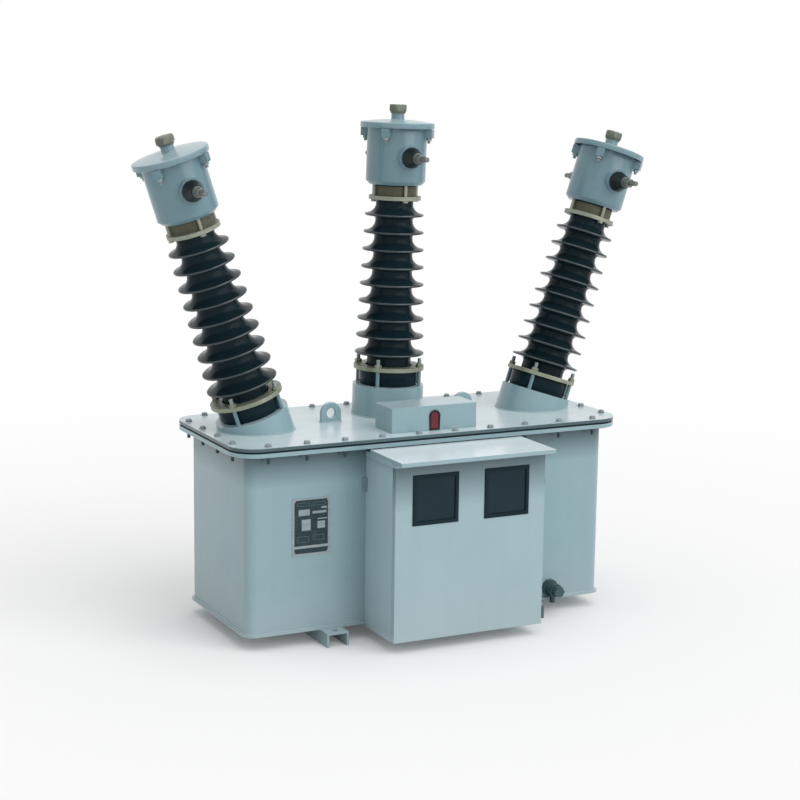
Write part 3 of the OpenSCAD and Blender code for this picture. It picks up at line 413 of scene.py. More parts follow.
# Darkened zinc for the nuts under the flange and the hinge pins: painted shade
SHADED_BOLT = Plating("bolt_dirty_zinc", (0.082, 0.124, 0.138), (0.056, 0.090, 0.102), 0.50, 0.16, 0.2, tone_scale=24.0,
                    grain_height=0.15)
TERMINAL = Plating("terminal_metal", (0.190, 0.205, 0.195), (0.135, 0.146, 0.138), 0.38, metallic=0.6, tone_scale=30.0)
BRASS = Plating("cap_bronze", (0.160, 0.180, 0.145), (0.112, 0.128, 0.100), 0.46, 0.16, 0.4, tone_scale=20.0,
                grain_scale=420.0, grain_height=0.2)
# Lighter copy of the bronze for rounded edges: painted highlight
BRASS_EDGE_HIGHLIGHT = Plating("cap_bronze_edge", (0.260, 0.280, 0.235), (0.200, 0.216, 0.175), metallic=0.45)
BRACKET = Plating("bracket_steel", (0.150, 0.245, 0.285), (0.115, 0.200, 0.235), specular=0.4)
PLATE_SILVER = Plating("plate_border", (0.310, 0.365, 0.380), (0.240, 0.290, 0.305), 0.36, metallic=0.4,
                       stretch=(1.0, 1.0, 30.0))
CORE = Plating("core_sheet", (0.130, 0.138, 0.145), (0.090, 0.096, 0.102), 0.45, metallic=0.6,
               stretch=(1.0, 60.0, 1.0))
COPPER = Plating("bare_copper", (0.480, 0.215, 0.105), (0.380, 0.150, 0.070), 0.35, metallic=0.9)

# Porcelain, rubber, resin, glass and the rest
GLAZE = Glaze("porcelain_glaze", (0.0088, 0.0225, 0.0310), (0.0070, 0.0180, 0.0250), 0.20, specular=0.08,
              grain_scale=120.0, grain_height=0.15)
# Lighter glaze on the shed lips: painted highlight lines, partly thinner glaze at the rim
LIP_HIGHLIGHT_GLAZE = Finish("lip_glaze", (0.022, 0.033, 0.038), (0.015, 0.024, 0.028), 0.20, 0.08, specular=0.6,
                   grain_scale=120.0)
RUBBER = Finish("seal_rubber", (0.007, 0.020, 0.026), (0.011, 0.026, 0.032), 0.60, 0.14, specular=0.10,
                grain_scale=800.0, grain_height=0.15)
RESIN = Finish("black_resin", (0.008, 0.014, 0.017), (0.012, 0.019, 0.022), 0.36, 0.14, specular=0.18)
RED_SCALE = Finish("scale_red", (0.150, 0.018, 0.024), (0.105, 0.014, 0.019), 0.22, 0.08, specular=0.3,
                   tone_scale=30.0)
PANE = Finish("pane_glass", (0.011, 0.034, 0.044), (0.008, 0.028, 0.037), 0.10, 0.04, specular=0.12, grain_scale=20.0,
              grain_height=0.01, passing=0.2, ior=1.46)
BOARD = Finish("brown_laminate", (0.115, 0.060, 0.030), (0.080, 0.040, 0.020), 0.42, 0.14, tone_scale=14.0,
               stretch=(1.0, 1.0, 9.0))
PLATE_DARK = Finish("plate_field", (0.017, 0.036, 0.044), (0.030, 0.056, 0.066), 0.40, 0.14, specular=0.2,
                    tone_scale=60.0)
PLATE_RULE = Finish("plate_rule", (0.085, 0.130, 0.142), (0.060, 0.098, 0.110), 0.40, 0.14, tone_scale=60.0)
WINDING = Finish("winding_paper", (0.200, 0.115, 0.055), (0.150, 0.080, 0.038), 0.7, 0.14, stretch=(1.0, 1.0, 30.0))


def mesh_of(name: str, points: list[Point], faces: list[list[int]], chained: bool = False) -> Mesh:
    """Makes a mesh from plain lists.

    Args:
        name: the mesh's name.
        points: the vertices.
        faces: vertex numbers of each face.
        chained: whether an edge joins each point to the next.

    Returns:
        The mesh.
    """
    mesh = bpy.data.meshes.new(name)
    mesh.from_pydata(points, [(i, i + 1) for i in range(len(points) - 1)] if chained else [], faces)
    mesh.update()
    return mesh


def point_out(mesh: Mesh, name: str, directions: list[Point]) -> None:
    """Stores a direction with each point of a mesh, under a name."""
    data = mesh.attributes.new(name, "FLOAT_VECTOR", "POINT").data
    data.foreach_set("vector", [number for direction in directions for number in direction])


def set_down(name: str, mesh: Mesh) -> bpy.types.Object:
    """Links a mesh to the scene at the origin.

    Args:
        name: the object's name.
        mesh: the mesh.

    Returns:
        The object.
    """
    obj = bpy.data.objects.new(name, mesh)
    bpy.context.scene.collection.objects.link(obj)
    return obj


def lift_off(obj: bpy.types.Object) -> None:
    """Removes a helper object with its mesh.

    Args:
        obj: the object.
    """
    mesh = obj.data
    bpy.data.objects.remove(obj)
    if mesh.users == 0:
        bpy.data.meshes.remove(mesh)


def flattened(obj: bpy.types.Object, name: str) -> Mesh:
    """Turns an object with modifiers into a plain mesh and removes the object.

    Args:
        obj: the object.
        name: name of the plain mesh.

    Returns:
        The evaluated mesh.
    """
    depsgraph = bpy.context.evaluated_depsgraph_get()
    mesh = bpy.data.meshes.new_from_object(obj.evaluated_get(depsgraph), depsgraph=depsgraph)
    mesh.name = name
    obj.modifiers.clear()
    lift_off(obj)
    return mesh


def tidied(mesh: Mesh, turn_out: bool = True) -> Mesh:
    """Merges doubles, drops slivers and, where asked, closes open ends and turns all faces outwards.

    Args:
        mesh: the mesh to tidy.
        turn_out: whether ends are closed and normals recalculated.

    Returns:
        The same mesh.
    """
    work = bmesh.new()
    work.from_mesh(mesh)
    bmesh.ops.remove_doubles(work, verts=work.verts, dist=1e-6)
    bmesh.ops.dissolve_degenerate(work, edges=work.edges, dist=1e-6)
    if turn_out:
        bmesh.ops.holes_fill(work, edges=[edge for edge in work.edges if edge.is_boundary], sides=0)
        bmesh.ops.recalc_face_normals(work, faces=work.faces)
    work.to_mesh(mesh)
    work.free()
    return mesh


def joined(name: str, meshes: list[Mesh]) -> Mesh:
    """Joins meshes of one finish into one.

    Args:
        name: the new mesh's name.
        meshes: what to join; they are removed.

    Returns:
        The joined mesh.
    """
    work = bmesh.new()
    for mesh in meshes:
        work.from_mesh(mesh)
        bpy.data.meshes.remove(mesh)
    result = bpy.data.meshes.new(name)
    work.to_mesh(result)
    work.free()
    return result


def piece(name: str, mesh: Mesh, finishes: list[Finish], body: Body = Body.BASE,
          stands_for: tuple[str, ...] = (), sharp: float = SHARP) -> None:
    """Finishes a piece: smooth faces, materials, body and the CAD nodes that it stands for.

    Args:
        name: the piece's name.
        mesh: its mesh, in place.
        finishes: finishes in the order of the mesh's material numbers.
        body: the body that it rides on.
        stands_for: CAD nodes that it replaces.
        sharp: edges steeper than this angle in degrees stay sharp.
    """
    order = {finish.name: number for number, finish in enumerate(finishes)}
    held = [order.get(m.name, number) if m else number for number, m in enumerate(mesh.materials)]
    numbers = [held[p.material_index] if p.material_index < len(held) else p.material_index for p in mesh.polygons]
    mesh.materials.clear()
    for finish in finishes:
        mesh.materials.append(finish.material())
    mesh.polygons.foreach_set("material_index", [min(number, len(finishes) - 1) for number in numbers])
    mesh.shade_smooth()
    mesh.set_sharp_from_angle(angle=math.radians(sharp))
    obj = set_down(name, mesh)
    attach(obj, body.value)
    if stands_for:
        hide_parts(*stands_for)
    LOG.info("%s: %d faces", name, len(mesh.polygons))


def dress(node: str, finish: Finish) -> None:
    """Gives a CAD node that stays as it is its finish.

    Args:
        node: the CAD node.
        finish: the finish.
    """
    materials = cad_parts[node].data.materials
    materials.clear()
    materials.append(finish.material())
    LOG.info("%s: kept, in %s", node, finish.name)


def softened(node: str, width: float, segments: int) -> Mesh:
    """Copies a CAD node's mesh and rounds its edges.

    Args:
        node: the CAD node.
        width: width of the rounding.
        segments: steps of the rounding.

    Returns:
        The rounded mesh; faces of the rounded edges have material number 1.
    """
    work = bmesh.new()
    work.from_mesh(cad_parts[node].data)
    bmesh.ops.remove_doubles(work, verts=work.verts, dist=2e-6)
    bmesh.ops.dissolve_limit(work, angle_limit=math.radians(0.4), verts=work.verts, edges=work.edges)
    mesh = bpy.data.meshes.new(f"{node}_rounded")
    work.to_mesh(mesh)
    work.free()
    for polygon in mesh.polygons:
        polygon.material_index = 0
    obj = set_down(f"{node}_work", mesh)
    mesh.materials.append(None)
    bevel = obj.modifiers.new("rounding", "BEVEL")
    bevel.width = width
    bevel.segments = segments
    bevel.limit_method = "ANGLE"
    bevel.angle_limit = math.radians(36.0)
    bevel.use_clamp_overlap = True
    bevel.material = 1
    return tidied(flattened(obj, mesh.name), turn_out=False)


def rounded(name: str, node: str, width: float, finishes: list[Finish], body: Body = Body.BASE,
            sharp: float = SHARP, segments: int = 2) -> None:
    """Makes the piece that stands for a CAD node from the node's own mesh with its edges rounded.

    Args:
        name: the piece's name.
        node: the CAD node.
        width: width of the rounding.
        finishes: finish of the faces, and that of the rounded edges where it differs.
        body: the body that it rides on.
        sharp: edges steeper than this angle in degrees stay sharp.
        segments: steps of the rounding.
    """
    piece(name, softened(node, width, segments), finishes, body, (node,), sharp)


class ShapeTree:
    """A Geometry Nodes tree with named inputs."""

    title = "shape"
    inputs: tuple[tuple[str, str], ...] = ()

    def group(self) -> bpy.types.NodeTree:
        """Returns the tree, built once."""
        found = bpy.data.node_groups.get(self.title)
        if found is not None:
            return found
        tree = bpy.data.node_groups.new(self.title, "GeometryNodeTree")
        for name, kind in (("Geometry", "Geometry"), *self.inputs):
            tree.interface.new_socket(name, in_out="INPUT", socket_type=f"NodeSocket{kind}")
        tree.interface.new_socket("Geometry", in_out="OUTPUT", socket_type="NodeSocketGeometry")
        board = NodeBoard(tree)
        self.build(board, board.add("NodeGroupInput"))
        return tree

    def build(self, board: NodeBoard, given: Outputs) -> None:
        """Fills the tree.

        Args:
            board: the tree's nodes.
            given: the tree's inputs.
        """
        raise NotImplementedError

    def make(self, name: str, base: Mesh, values: dict[str, object]) -> Mesh:
        """Runs the tree on a mesh.

        Args:
            name: name of the result.
            base: the mesh that the tree starts from.
            values: a value for each named input.

        Returns:
            The result as a plain mesh.
        """
        obj = set_down(f"{name}_work", base)
        tree = self.group()
        modifier = obj.modifiers.new(self.title, "NODES")
        modifier.node_group = tree
        sockets = {s.name: s.identifier for s in tree.interface.items_tree if s.in_out == "INPUT"}
        for key, value in values.items():
            modifier[sockets[key]] = value
        return flattened(obj, name)

    @staticmethod
    def close(board: NodeBoard, geometry: object, *finishes: Feeds) -> None:
        """Ends a tree: real faces, finishes, output.

        Args:
            board: the tree's nodes.
            geometry: the geometry to end with.
            finishes: Material of each finish, and the Selection of its faces where it isn't all of them.
        """
        geometry = board.add("GeometryNodeRealizeInstances", {0: geometry})[0]
        for feeds in finishes:
            geometry = board.add("GeometryNodeSetMaterial", {"Geometry": geometry, **feeds})[0]
        board.add("NodeGroupOutput", {0: geometry})


class SweptOutline(ShapeTree):
    """Carries an outline along a path; the path's points name the direction that is out."""

    title = "swept_outline"
    inputs = (("Path", "Object"), ("Up", "Vector"), ("Ripple", "Float"), ("Finish", "Material"))

    def build(self, board: NodeBoard, given: Outputs) -> None:
        """Makes a grid whose rows follow the outline and whose columns follow the path; see ShapeTree.build."""
        outline, path = given["Geometry"], board.shape(given["Path"])
        rows, columns = (board.add("GeometryNodeAttributeDomainSize", {0: geometry}, component="MESH")["Point Count"]
                         for geometry in (outline, path))
        grid = board.add("GeometryNodeMeshGrid", {"Vertices X": columns, "Vertices Y": rows})["Mesh"]
        index = board.add("GeometryNodeInputIndex")[0]
        row, column = (board.add("FunctionNodeIntegerMath", {0: index, 1: rows}, operation=operation)[0]
                       for operation in ("MODULO", "DIVIDE_FLOOR"))
        position = board.add("GeometryNodeInputPosition")[0]
        spot = board.parts(self.sample(board, outline, position, row))
        middle = self.sample(board, path, position, column)
        outward = self.sample(board, path, board.named("out", "FLOAT_VECTOR"), column)
        noise = board.noise(middle, RIPPLES, 2.0, 0.5)
        swell = board.math("ADD", board.math("MULTIPLY", board.math("SUBTRACT", noise, 0.5), given["Ripple"]), 1.0)
        place = board.vector("ADD", middle, board.scaled(outward, board.math("MULTIPLY", spot[0], swell)))
        place = board.vector("ADD", place, board.scaled(given["Up"], board.math("MULTIPLY", spot[2], swell)))
        moved = board.add("GeometryNodeSetPosition", {"Geometry": grid, "Position": place})[0]
        merged = board.add("GeometryNodeMergeByDistance", {0: moved, "Distance": 2e-6})[0]
        self.close(board, merged, {"Material": given["Finish"]})

    @staticmethod
    def sample(board: NodeBoard, geometry: object, value: object, index: object) -> Socket:
        """Reads a vector of one point of a geometry and returns it."""
        feeds = {"Geometry": geometry, "Value": value, "Index": index}
        return board.add("GeometryNodeSampleIndex", feeds, data_type="FLOAT_VECTOR", domain="POINT")["Value"]

    def along(self, name: str, outline: Outline, path: Path, finish: Finish, up: Point = UP,
              ripple: float = 0.0) -> Mesh:
        """Sweeps an outline along a path.

        Args:
            name: name of the result.
            outline: points as (out, up); the first is repeated at the end of a closed one.
            path: points with their out directions; the first is repeated at the end of a closed one.
            finish: the finish.
            up: the outline's up direction.
            ripple: share by which the outline swells and shrinks along the path.

        Returns:
            The swept mesh, with its faces turned out.
        """
        line = mesh_of("path", [point for point, _ in path], [], chained=True)
        point_out(line, "out", [out for _, out in path])
        guide = set_down("path_guide", line)
        base = mesh_of(f"{name}_outline", [(u, 0.0, v) for u, v in outline], [], chained=True)
        mesh = self.make(name, base, {"Path": guide, "Up": up, "Ripple": ripple, "Finish": finish.material()})
        lift_off(guide)
        mesh.materials.clear()
        mesh.materials.append(finish.material())
        return tidied(mesh)

    def turned(self, name: str, outline: Outline, finish: Finish, steps: int, unit: float = 1.0) -> Mesh:
        """Turns an outline round the Z axis.

        Args:
            name: name of the result.
            outline: points as (radius, height).
            finish: the finish.
            steps: faces round the axis.
            unit: length of the outline's unit.

        Returns:
            The turned mesh, about the origin.
        """
        path = [((0.0, 0.0, 0.0), (math.cos(a), math.sin(a), 0.0)) for a in full_turn(steps)]
        return self.along(name, [(r * unit, z * unit) for r, z in outline], path, finish)

    def weld(self, name: str, path: Path, radius: float, finish: Finish, up: Point = UP) -> Mesh:
        """Lays a rippled weld bead of a radius along a path and returns it; see along."""
        return self.along(name, arc((0.0, 0.0), radius, 0.0, 360.0, 8), path, finish, up, RIPPLE)


class FastenerRow(ShapeTree):
    """Sets copies of one fastener on points, each turned a little differently about its own axis."""

    title = "fastener_row"
    inputs = (("Fastener", "Object"), ("Turn", "Float"), ("Seed", "Int"), ("Finish", "Material"),
              ("Second finish", "Material"))

    def build(self, board: NodeBoard, given: Outputs) -> None:
        """Makes instances whose Z axis follows each point's axis; see ShapeTree.build."""
        axis = board.named("axis", "FLOAT_VECTOR")
        align = board.add("FunctionNodeAlignRotationToVector", {"Vector": axis}, axis="Z")
        angle = board.add("FunctionNodeRandomValue", {3: given["Turn"], "Seed": given["Seed"]}, data_type="FLOAT")[1]
        spin = board.add("FunctionNodeAxisAngleToRotation", {"Axis": UP, "Angle": angle})
        turn = board.add("FunctionNodeRotateRotation", {"Rotation": align[0], "Rotate By": spin[0]},
                         rotation_space="LOCAL")
        copies = board.add("GeometryNodeInstanceOnPoints", {
            "Points": given["Geometry"], "Instance": board.shape(given["Fastener"]), "Rotation": turn[0]})
        self.close(board, copies[0], {"Material": given["Finish"]},
                   {"Material": given["Second finish"], "Selection": board.named("second", "BOOLEAN")})

    def on(self, name: str, fastener: Mesh, spots: Spots, finishes: list[Finish], turn: float = 0.0,
           seed: int = 3) -> Mesh:
        """Sets a fastener on spots.

        Args:
            name: name of the result.
            fastener: one fastener, its seat at the origin and its axis along Z; it is removed.
            spots: places and axes.
            finishes: the finish, and that of the faces that the fastener marks as second.
            turn: largest turn about the axis in radians.
            seed: seed of the turns.

        Returns:
            All copies as one mesh.
        """
        base = mesh_of(f"{name}_spots", [tuple(point) for point, _ in spots], [])
        point_out(base, "axis", [axis for _, axis in spots])
        helper = set_down(f"{name}_one", fastener)
        mesh = self.make(name, base, {"Fastener": helper, "Turn": turn, "Seed": seed,
                                      "Finish": finishes[0].material(), "Second finish": finishes[-1].material()})
        lift_off(helper)
        return mesh


SWEEP = SweptOutline()
ROW = FastenerRow()


def fastened(name: str, node: str, fastener: Mesh, spots: Spots, finishes: list[Finish],
             turn: float = 0.0, seed: int = 3, sharp: float = SHARP) -> None:
    """Makes the piece that stands for a CAD node from copies of one fastener.

    Args:
        name: the piece's name.
        node: the CAD node.
        fastener: see FastenerRow.on.
        spots: places and axes.
        finishes: the finish, and that of the faces that the fastener marks as second.
        turn: largest turn about the axis in radians.
        seed: seed of the turns.
        sharp: edges steeper than this angle in degrees stay sharp.
    """
    piece(name, ROW.on(name, fastener, spots, finishes, turn, seed), finishes, Body.BASE, (node,), sharp)


def full_turn(steps: int) -> list[float]:
    """Returns the angles of a full turn, the first repeated at the end."""
    return [2.0 * math.pi * k / steps for k in range(steps)] + [0.0]


def part_way(ends: Pair, share: float) -> float:
    """Returns the number at a share of the way between two."""
    return ends[0] + (ends[1] - ends[0]) * share


def arc(centre: Pair, radius: float, start: float, end: float, steps: int) -> Outline:
    """Returns points of an arc, angles in degrees."""
    turn = [math.radians(start + (end - start) * s / steps) for s in range(steps + 1)]
    return [(centre[0] + radius * math.cos(a), centre[1] + radius * math.sin(a)) for a in turn]


def curve(a: Pair, b: Pair, c: Pair, steps: int) -> Outline:
    """Draws a curve that leaves one point towards a second and ends in a third.

    Args:
        a: where it starts.
        b: what it heads for.
        c: where it ends.
        steps: steps of the curve.

    Returns:
        Its points without the first.
    """
    result = []
    for s in range(1, steps + 1):
        t = s / steps
        u = 1.0 - t
        result.append(tuple(u * u * a[i] + 2.0 * t * u * b[i] + t * t * c[i] for i in (0, 1)))
    return result


def eased(outline: Outline, radius: float, steps: int = 3) -> Outline:
    """Rounds the corners of a closed outline.

    Args:
        outline: its corners, the first not repeated.
        radius: how far the rounding reaches along each edge at most.
        steps: steps of each rounding.

    Returns:
        The rounded outline with its first point repeated.
    """
    result: Outline = []
    for i, place in enumerate(outline):
        corner = Vector(place)
        before, after = (Vector(outline[k % len(outline)]) - corner for k in (i - 1, i + 1))
        start, end = (corner + edge.normalized() * min(radius, edge.length * 0.45) for edge in (before, after))
        result.append(tuple(start))
        result.extend(curve(tuple(start), tuple(corner), tuple(end), steps))
    return result + [result[0]]


def round_path(length: float, depth: float, radius: float, centre: Point, steps: int = 8) -> Path:
    """Goes round a rounded rectangle that lies flat.

    Args:
        length: its size along X.
        depth: its size along Y.
        radius: radius of its corners.
        centre: its middle.
        steps: steps of each corner.

    Returns:
        The closed path with its out directions.
    """
    path = []
    for k, (sx, sy) in enumerate(((1, 1), (-1, 1), (-1, -1), (1, -1))):
        for s in range(steps + 1):
            a = math.radians(90.0 * k + 90.0 * s / steps)
            out = (math.cos(a), math.sin(a), 0.0)
            path.append(((centre[0] + sx * (length / 2 - radius) + radius * out[0],
                          centre[1] + sy * (depth / 2 - radius) + radius * out[1], centre[2]), out))
    return path + [path[0]]


def dense(path: Path, step: float) -> Path:
    """Adds points to the long stretches of a path, so that a weld bead can ripple there.

    Args:
        path: the path.
        step: spacing of the points.

    Returns:
        The path with the added points.
    """
    result = [path[0]]
    for (p, o), (q, r) in zip(path, path[1:]):
        count = max(1, round((Vector(q) - Vector(p)).length / step))
        for k in range(1, count + 1):
            t = k / count
            result.append((tuple(Vector(p).lerp(Vector(q), t)), tuple(Vector(o).lerp(Vector(r), t).normalized())))
    return result


def hexagon(thread: float, height: float, bore: float = 0.0, lower: float = 0.0) -> Mesh:
    """Makes a bolt's head or a nut, with its corners turned down as on real ones.

    Args:
        thread: the thread's diameter.
        height: height.
        bore: radius of the hole, 0 for a bolt's head.
        lower: where its underside lies.

    Returns:
        The mesh.
    """
    flat = HEX_ACROSS * thread / 2 * math.cos(math.pi / 6)
    angles = full_turn(24)[:-1]
    count = len(angles)
    radii = [flat / math.cos((a % (math.pi / 3)) - math.pi / 6) for a in angles]
    drop = [max(0.0, r - flat * 0.97) * 0.58 for r in radii]
    rings = [[(bore, 0.0) for _ in angles], [(r - 0.0004, 0.0) for r in radii],
             [(r, d + 0.0003) for r, d in zip(radii, drop)],
             [(r, height - d) for r, d in zip(radii, drop)], [(flat * 0.95, height) for _ in angles],
             [(bore, height) for _ in angles]]
    if bore > 0.0:
        rings.append(rings[0])
    points = [(r * math.cos(a), r * math.sin(a), lower + z) for ring in rings for a, (r, z) in zip(angles, ring)]
    faces = [[i * count + k, i * count + (k + 1) % count, (i + 1) * count + (k + 1) % count, (i + 1) * count + k]
             for i in range(len(rings) - 1) for k in range(count)]
    return tidied(mesh_of("hexagon", points, faces))


def nut(thread: float, lower: float = 0.0) -> Mesh:
    """Returns a nut for a thread, its underside at a height."""
    return hexagon(thread, NUT_HIGH * thread, thread / 2, lower)


def washer(thread: float, bore: float, thick: float, finish: Finish, steps: int) -> Mesh:
    """Returns a washer for a thread, with a bore's radius and a thickness."""
    wide = WASHER_RADIUS * thread
    return SWEEP.turned("washer", eased([(bore, 0.0), (wide, 0.0), (wide, thick), (bore, thick)], 0.0006), finish,
                        steps)


def threaded(radius: float, low: float, high: float, pitch: float, plain_to: float, finish: Finish) -> Mesh:
    """Turns a rod whose upper part has thread ridges and a chamfered tip.

    Args:
        radius: outer radius.
        low: its lower end.
        high: its tip.
        pitch: spacing of the ridges.
        plain_to: where the thread begins.
        finish: the finish.

    Returns:
        The rod about the Z axis; faces of the plain part are marked as second.
    """
    outline: Outline = [(0.0, low), (radius, low), (radius, plain_to)]
    z = plain_to
    depth = pitch * 0.45
    while z + pitch < high - depth:
        outline += [(radius - depth, z + pitch * 0.5), (radius, z + pitch * 0.9), (radius, z + pitch)]
        z += pitch
    outline += [(radius - depth, high), (0.0, high)]
    mesh = SWEEP.turned("rod", outline, finish, 20)
    mark = mesh.attributes.new("second", "BOOLEAN", "FACE")
    mark.data.foreach_set("value", [p.center.z < plain_to for p in mesh.polygons])
    return mesh


@dataclass(frozen=True)
class BushingPlace:
    """Where a bushing stands on the lid: its foot, its lean in degrees and the height of its turret."""

    x: float
    y: float
    lean: float
    turret: float

    def seat(self, height: float = 0.0) -> Matrix:
        """Returns the place on the bushing's axis at a height above its turret."""
        return (Matrix.Translation((self.x, self.y, LID_Z)) @ Matrix.Rotation(math.radians(self.lean), 4, "Y")
                @ Matrix.Translation((0.0, 0.0, self.turret + height)))

    def spot(self, point: Point, axis: Point, height: float = 0.0) -> tuple[Vector, Vector]:
        """Returns a point and a direction of the bushing's own frame in the object's frame."""
        seat = self.seat(height)
        return seat @ Vector(point), (seat.to_3x3() @ Vector(axis)).normalized()


PLACES = {Side.LEFT: BushingPlace(-0.472, TANK_Y + 0.002, -18.0, 0.051),
          Side.MIDDLE: BushingPlace(0.0, TANK_Y + 0.085, 1.6, 0.092),
          Side.RIGHT: BushingPlace(0.472, TANK_Y + 0.002, 18.0, 0.051)}


def circle_spots(radius: float, start: float, height: float, axis: Point, count: int = 4) -> Spots:
    """Finds the places of a bolt circle on all three bushings.

    Args:
        radius: the circle's radius.
        start: angle of the first bolt in degrees.
        height: height along the bushing's axis.
        axis: the fastener's direction in the bushing's own frame.
        count: bolts in the circle.

    Returns:
        Places and axes in the object's frame.
    """
    angles = [math.radians(start + 360.0 * k / count) for k in range(count)]
    return [place.spot((radius * math.cos(a), radius * math.sin(a), 0.0), axis, height)
            for place in PLACES.values() for a in angles]


@dataclass
class Tank:
    """Welded tank on its two base channels."""

    length: float = 1.190
    depth: float = 0.462
    corner: float = 0.031
    floor_z: float = 0.049
    flange_under: float = 0.581
    bead: float = 0.0032
    bead_step: float = 0.006
    edge: float = 0.0016
    box_half: float = 0.257

    def build(self) -> None:
        """Builds tank, channels and weld beads."""
        rounded("tank_shell", "tank_body", self.edge, [TANK_PAINT, TANK_EDGE_HIGHLIGHT])
        for side, paints in (("left", [RAIL_PAINT, TANK_EDGE_HIGHLIGHT]), ("right", [SHADED_RAIL])):
            rounded(f"base_channel_{side}", f"base_rail_{side}", self.edge, paints)
        piece("tank_welds", joined("tank_welds", self.beads()), [WELD_PAINT], sharp=BEAD_SHARP)

    def beads(self) -> list[Mesh]:
        """Returns the beads under the flange and on the base plate, which stop beside the meter box."""
        top, low = (dense(round_path(self.length, self.depth, self.corner, (0.0, TANK_Y, z)), self.bead_step)
                    for z in (self.flange_under, self.floor_z))
        front = TANK_Y - self.depth / 2 + 0.001
        hidden = [i for i, (p, _) in enumerate(low) if p[1] < front and abs(p[0] - BOX_X) < self.box_half]
        open_low = low[hidden[-1] + 1:-1] + low[:hidden[0]]
        return [SWEEP.weld("flange_weld", top, self.bead, WELD_PAINT),
                SWEEP.weld("plate_weld", open_low, self.bead, WELD_PAINT)]


@dataclass
class Lid:
    """Lid with its bolts, turrets and lifting lugs."""

    length: float = 1.278
    depth: float = 0.550
    edge: float = 0.0022
    grip: float = 0.028
    bolt_edge: float = 0.020
    bolt_pitch: float = 0.120
    bolt: float = 0.010
    washer_t: float = 0.002
    thread: float = 0.0015
    bolt_over: float = 0.014
    bolt_short: float = 0.004
    box_half: float = 0.256
    turret_radius: float = 0.110
    turret_edge: float = 0.0014
    lug_size: Pair = (0.066, 0.014)
    lug_x: float = 0.226
    lug_y: float = TANK_Y + 0.012
    lug_edge: float = 0.002
    bead: float = 0.0030

    def build(self) -> None:
        """Builds the lid and what is bolted and welded to it."""
        paints = [TANK_PAINT, TANK_EDGE_HIGHLIGHT]
        rounded("lid_plate", "tank_lid", self.edge, [LID_PAINT], sharp=FLAT_SHARP, segments=3)
        for side in Side:
            rounded(f"turret_tube_{side.value}", f"turret_{side.value}", self.turret_edge, paints)
        rounded("lifting_eyes", "lifting_lugs", self.lug_edge, paints)
        dress("lid_gasket", RUBBER)
        spots = self.bolt_spots()
        head = joined("bolt_head", [washer(self.bolt, 0.0, self.washer_t, BOLT, 24),
                                    hexagon(self.bolt, HEAD_HIGH * self.bolt, 0.0, self.washer_t)])
        fastened("lid_bolt_heads", "lid_bolts", head, spots, [BOLT], math.pi, 5)
        piece("lid_bolt_nuts", self.nuts(spots), [SHADED_BOLT], stands_for=("lid_nuts",))
        piece("lid_welds", joined("lid_welds", self.beads()), [WELD_PAINT], sharp=BEAD_SHARP)

    def bolt_spots(self) -> Spots:
        """Returns the places and axes of the lid's bolts."""
        row_l, row_d = self.length - 2 * self.bolt_edge, self.depth - 2 * self.bolt_edge
        along, across = math.floor(row_l / self.bolt_pitch + 1e-6), math.floor(row_d / self.bolt_pitch + 1e-6)
        spots = [((i - (along - 1) / 2) * self.bolt_pitch, s * row_d / 2) for i in range(along) for s in (-1, 1)]
        spots += [(s * row_l / 2, (j - (across - 1) / 2) * self.bolt_pitch) for j in range(across) for s in (-1, 1)]
        return [(Vector((x, TANK_Y + y, LID_Z)), Vector(UP)) for x, y in spots]

    def nuts(self, spots: Spots) -> Mesh:
        """Sets nuts and thread ends under the flange, short ones above the meter box.

        Args:
            spots: places and axes of the bolt heads.

        Returns:
            All of them as one mesh.
        """
        rows = []
        for over_box, end in ((False, self.bolt_over), (True, self.bolt_short)):
            tip = threaded(self.bolt / 2, 0.001, NUT_HIGH * self.bolt + end, self.thread, 0.002, SHADED_BOLT)
            under = [(p - Vector((0.0, 0.0, self.grip)), -axis) for p, axis in spots
                     if (p.y < TANK_Y and abs(p.x - BOX_X) < self.box_half) == over_box]
            one = joined("bolt_nut", [nut(self.bolt), tip])
            rows.append(ROW.on("lid_bolt_nuts", one, under, [SHADED_BOLT], math.pi, 8))
        return joined("lid_bolt_nuts", rows)

    def beads(self) -> list[Mesh]:
        """Returns the beads at the feet of turrets and lugs."""
        paths = []
        for place in PLACES.values():
            wide = self.turret_radius / math.cos(math.radians(place.lean))
            paths.append([((place.x + wide * math.cos(a), place.y + self.turret_radius * math.sin(a), LID_Z),
                           (math.cos(a), math.sin(a), 0.0)) for a in full_turn(144)])
        for x in (-self.lug_x, self.lug_x):
            paths.append(dense(round_path(*self.lug_size, 0.002, (x, self.lug_y, LID_Z), 3), 0.004))
        return [SWEEP.weld("foot_weld", path, self.bead, WELD_PAINT) for path in paths]


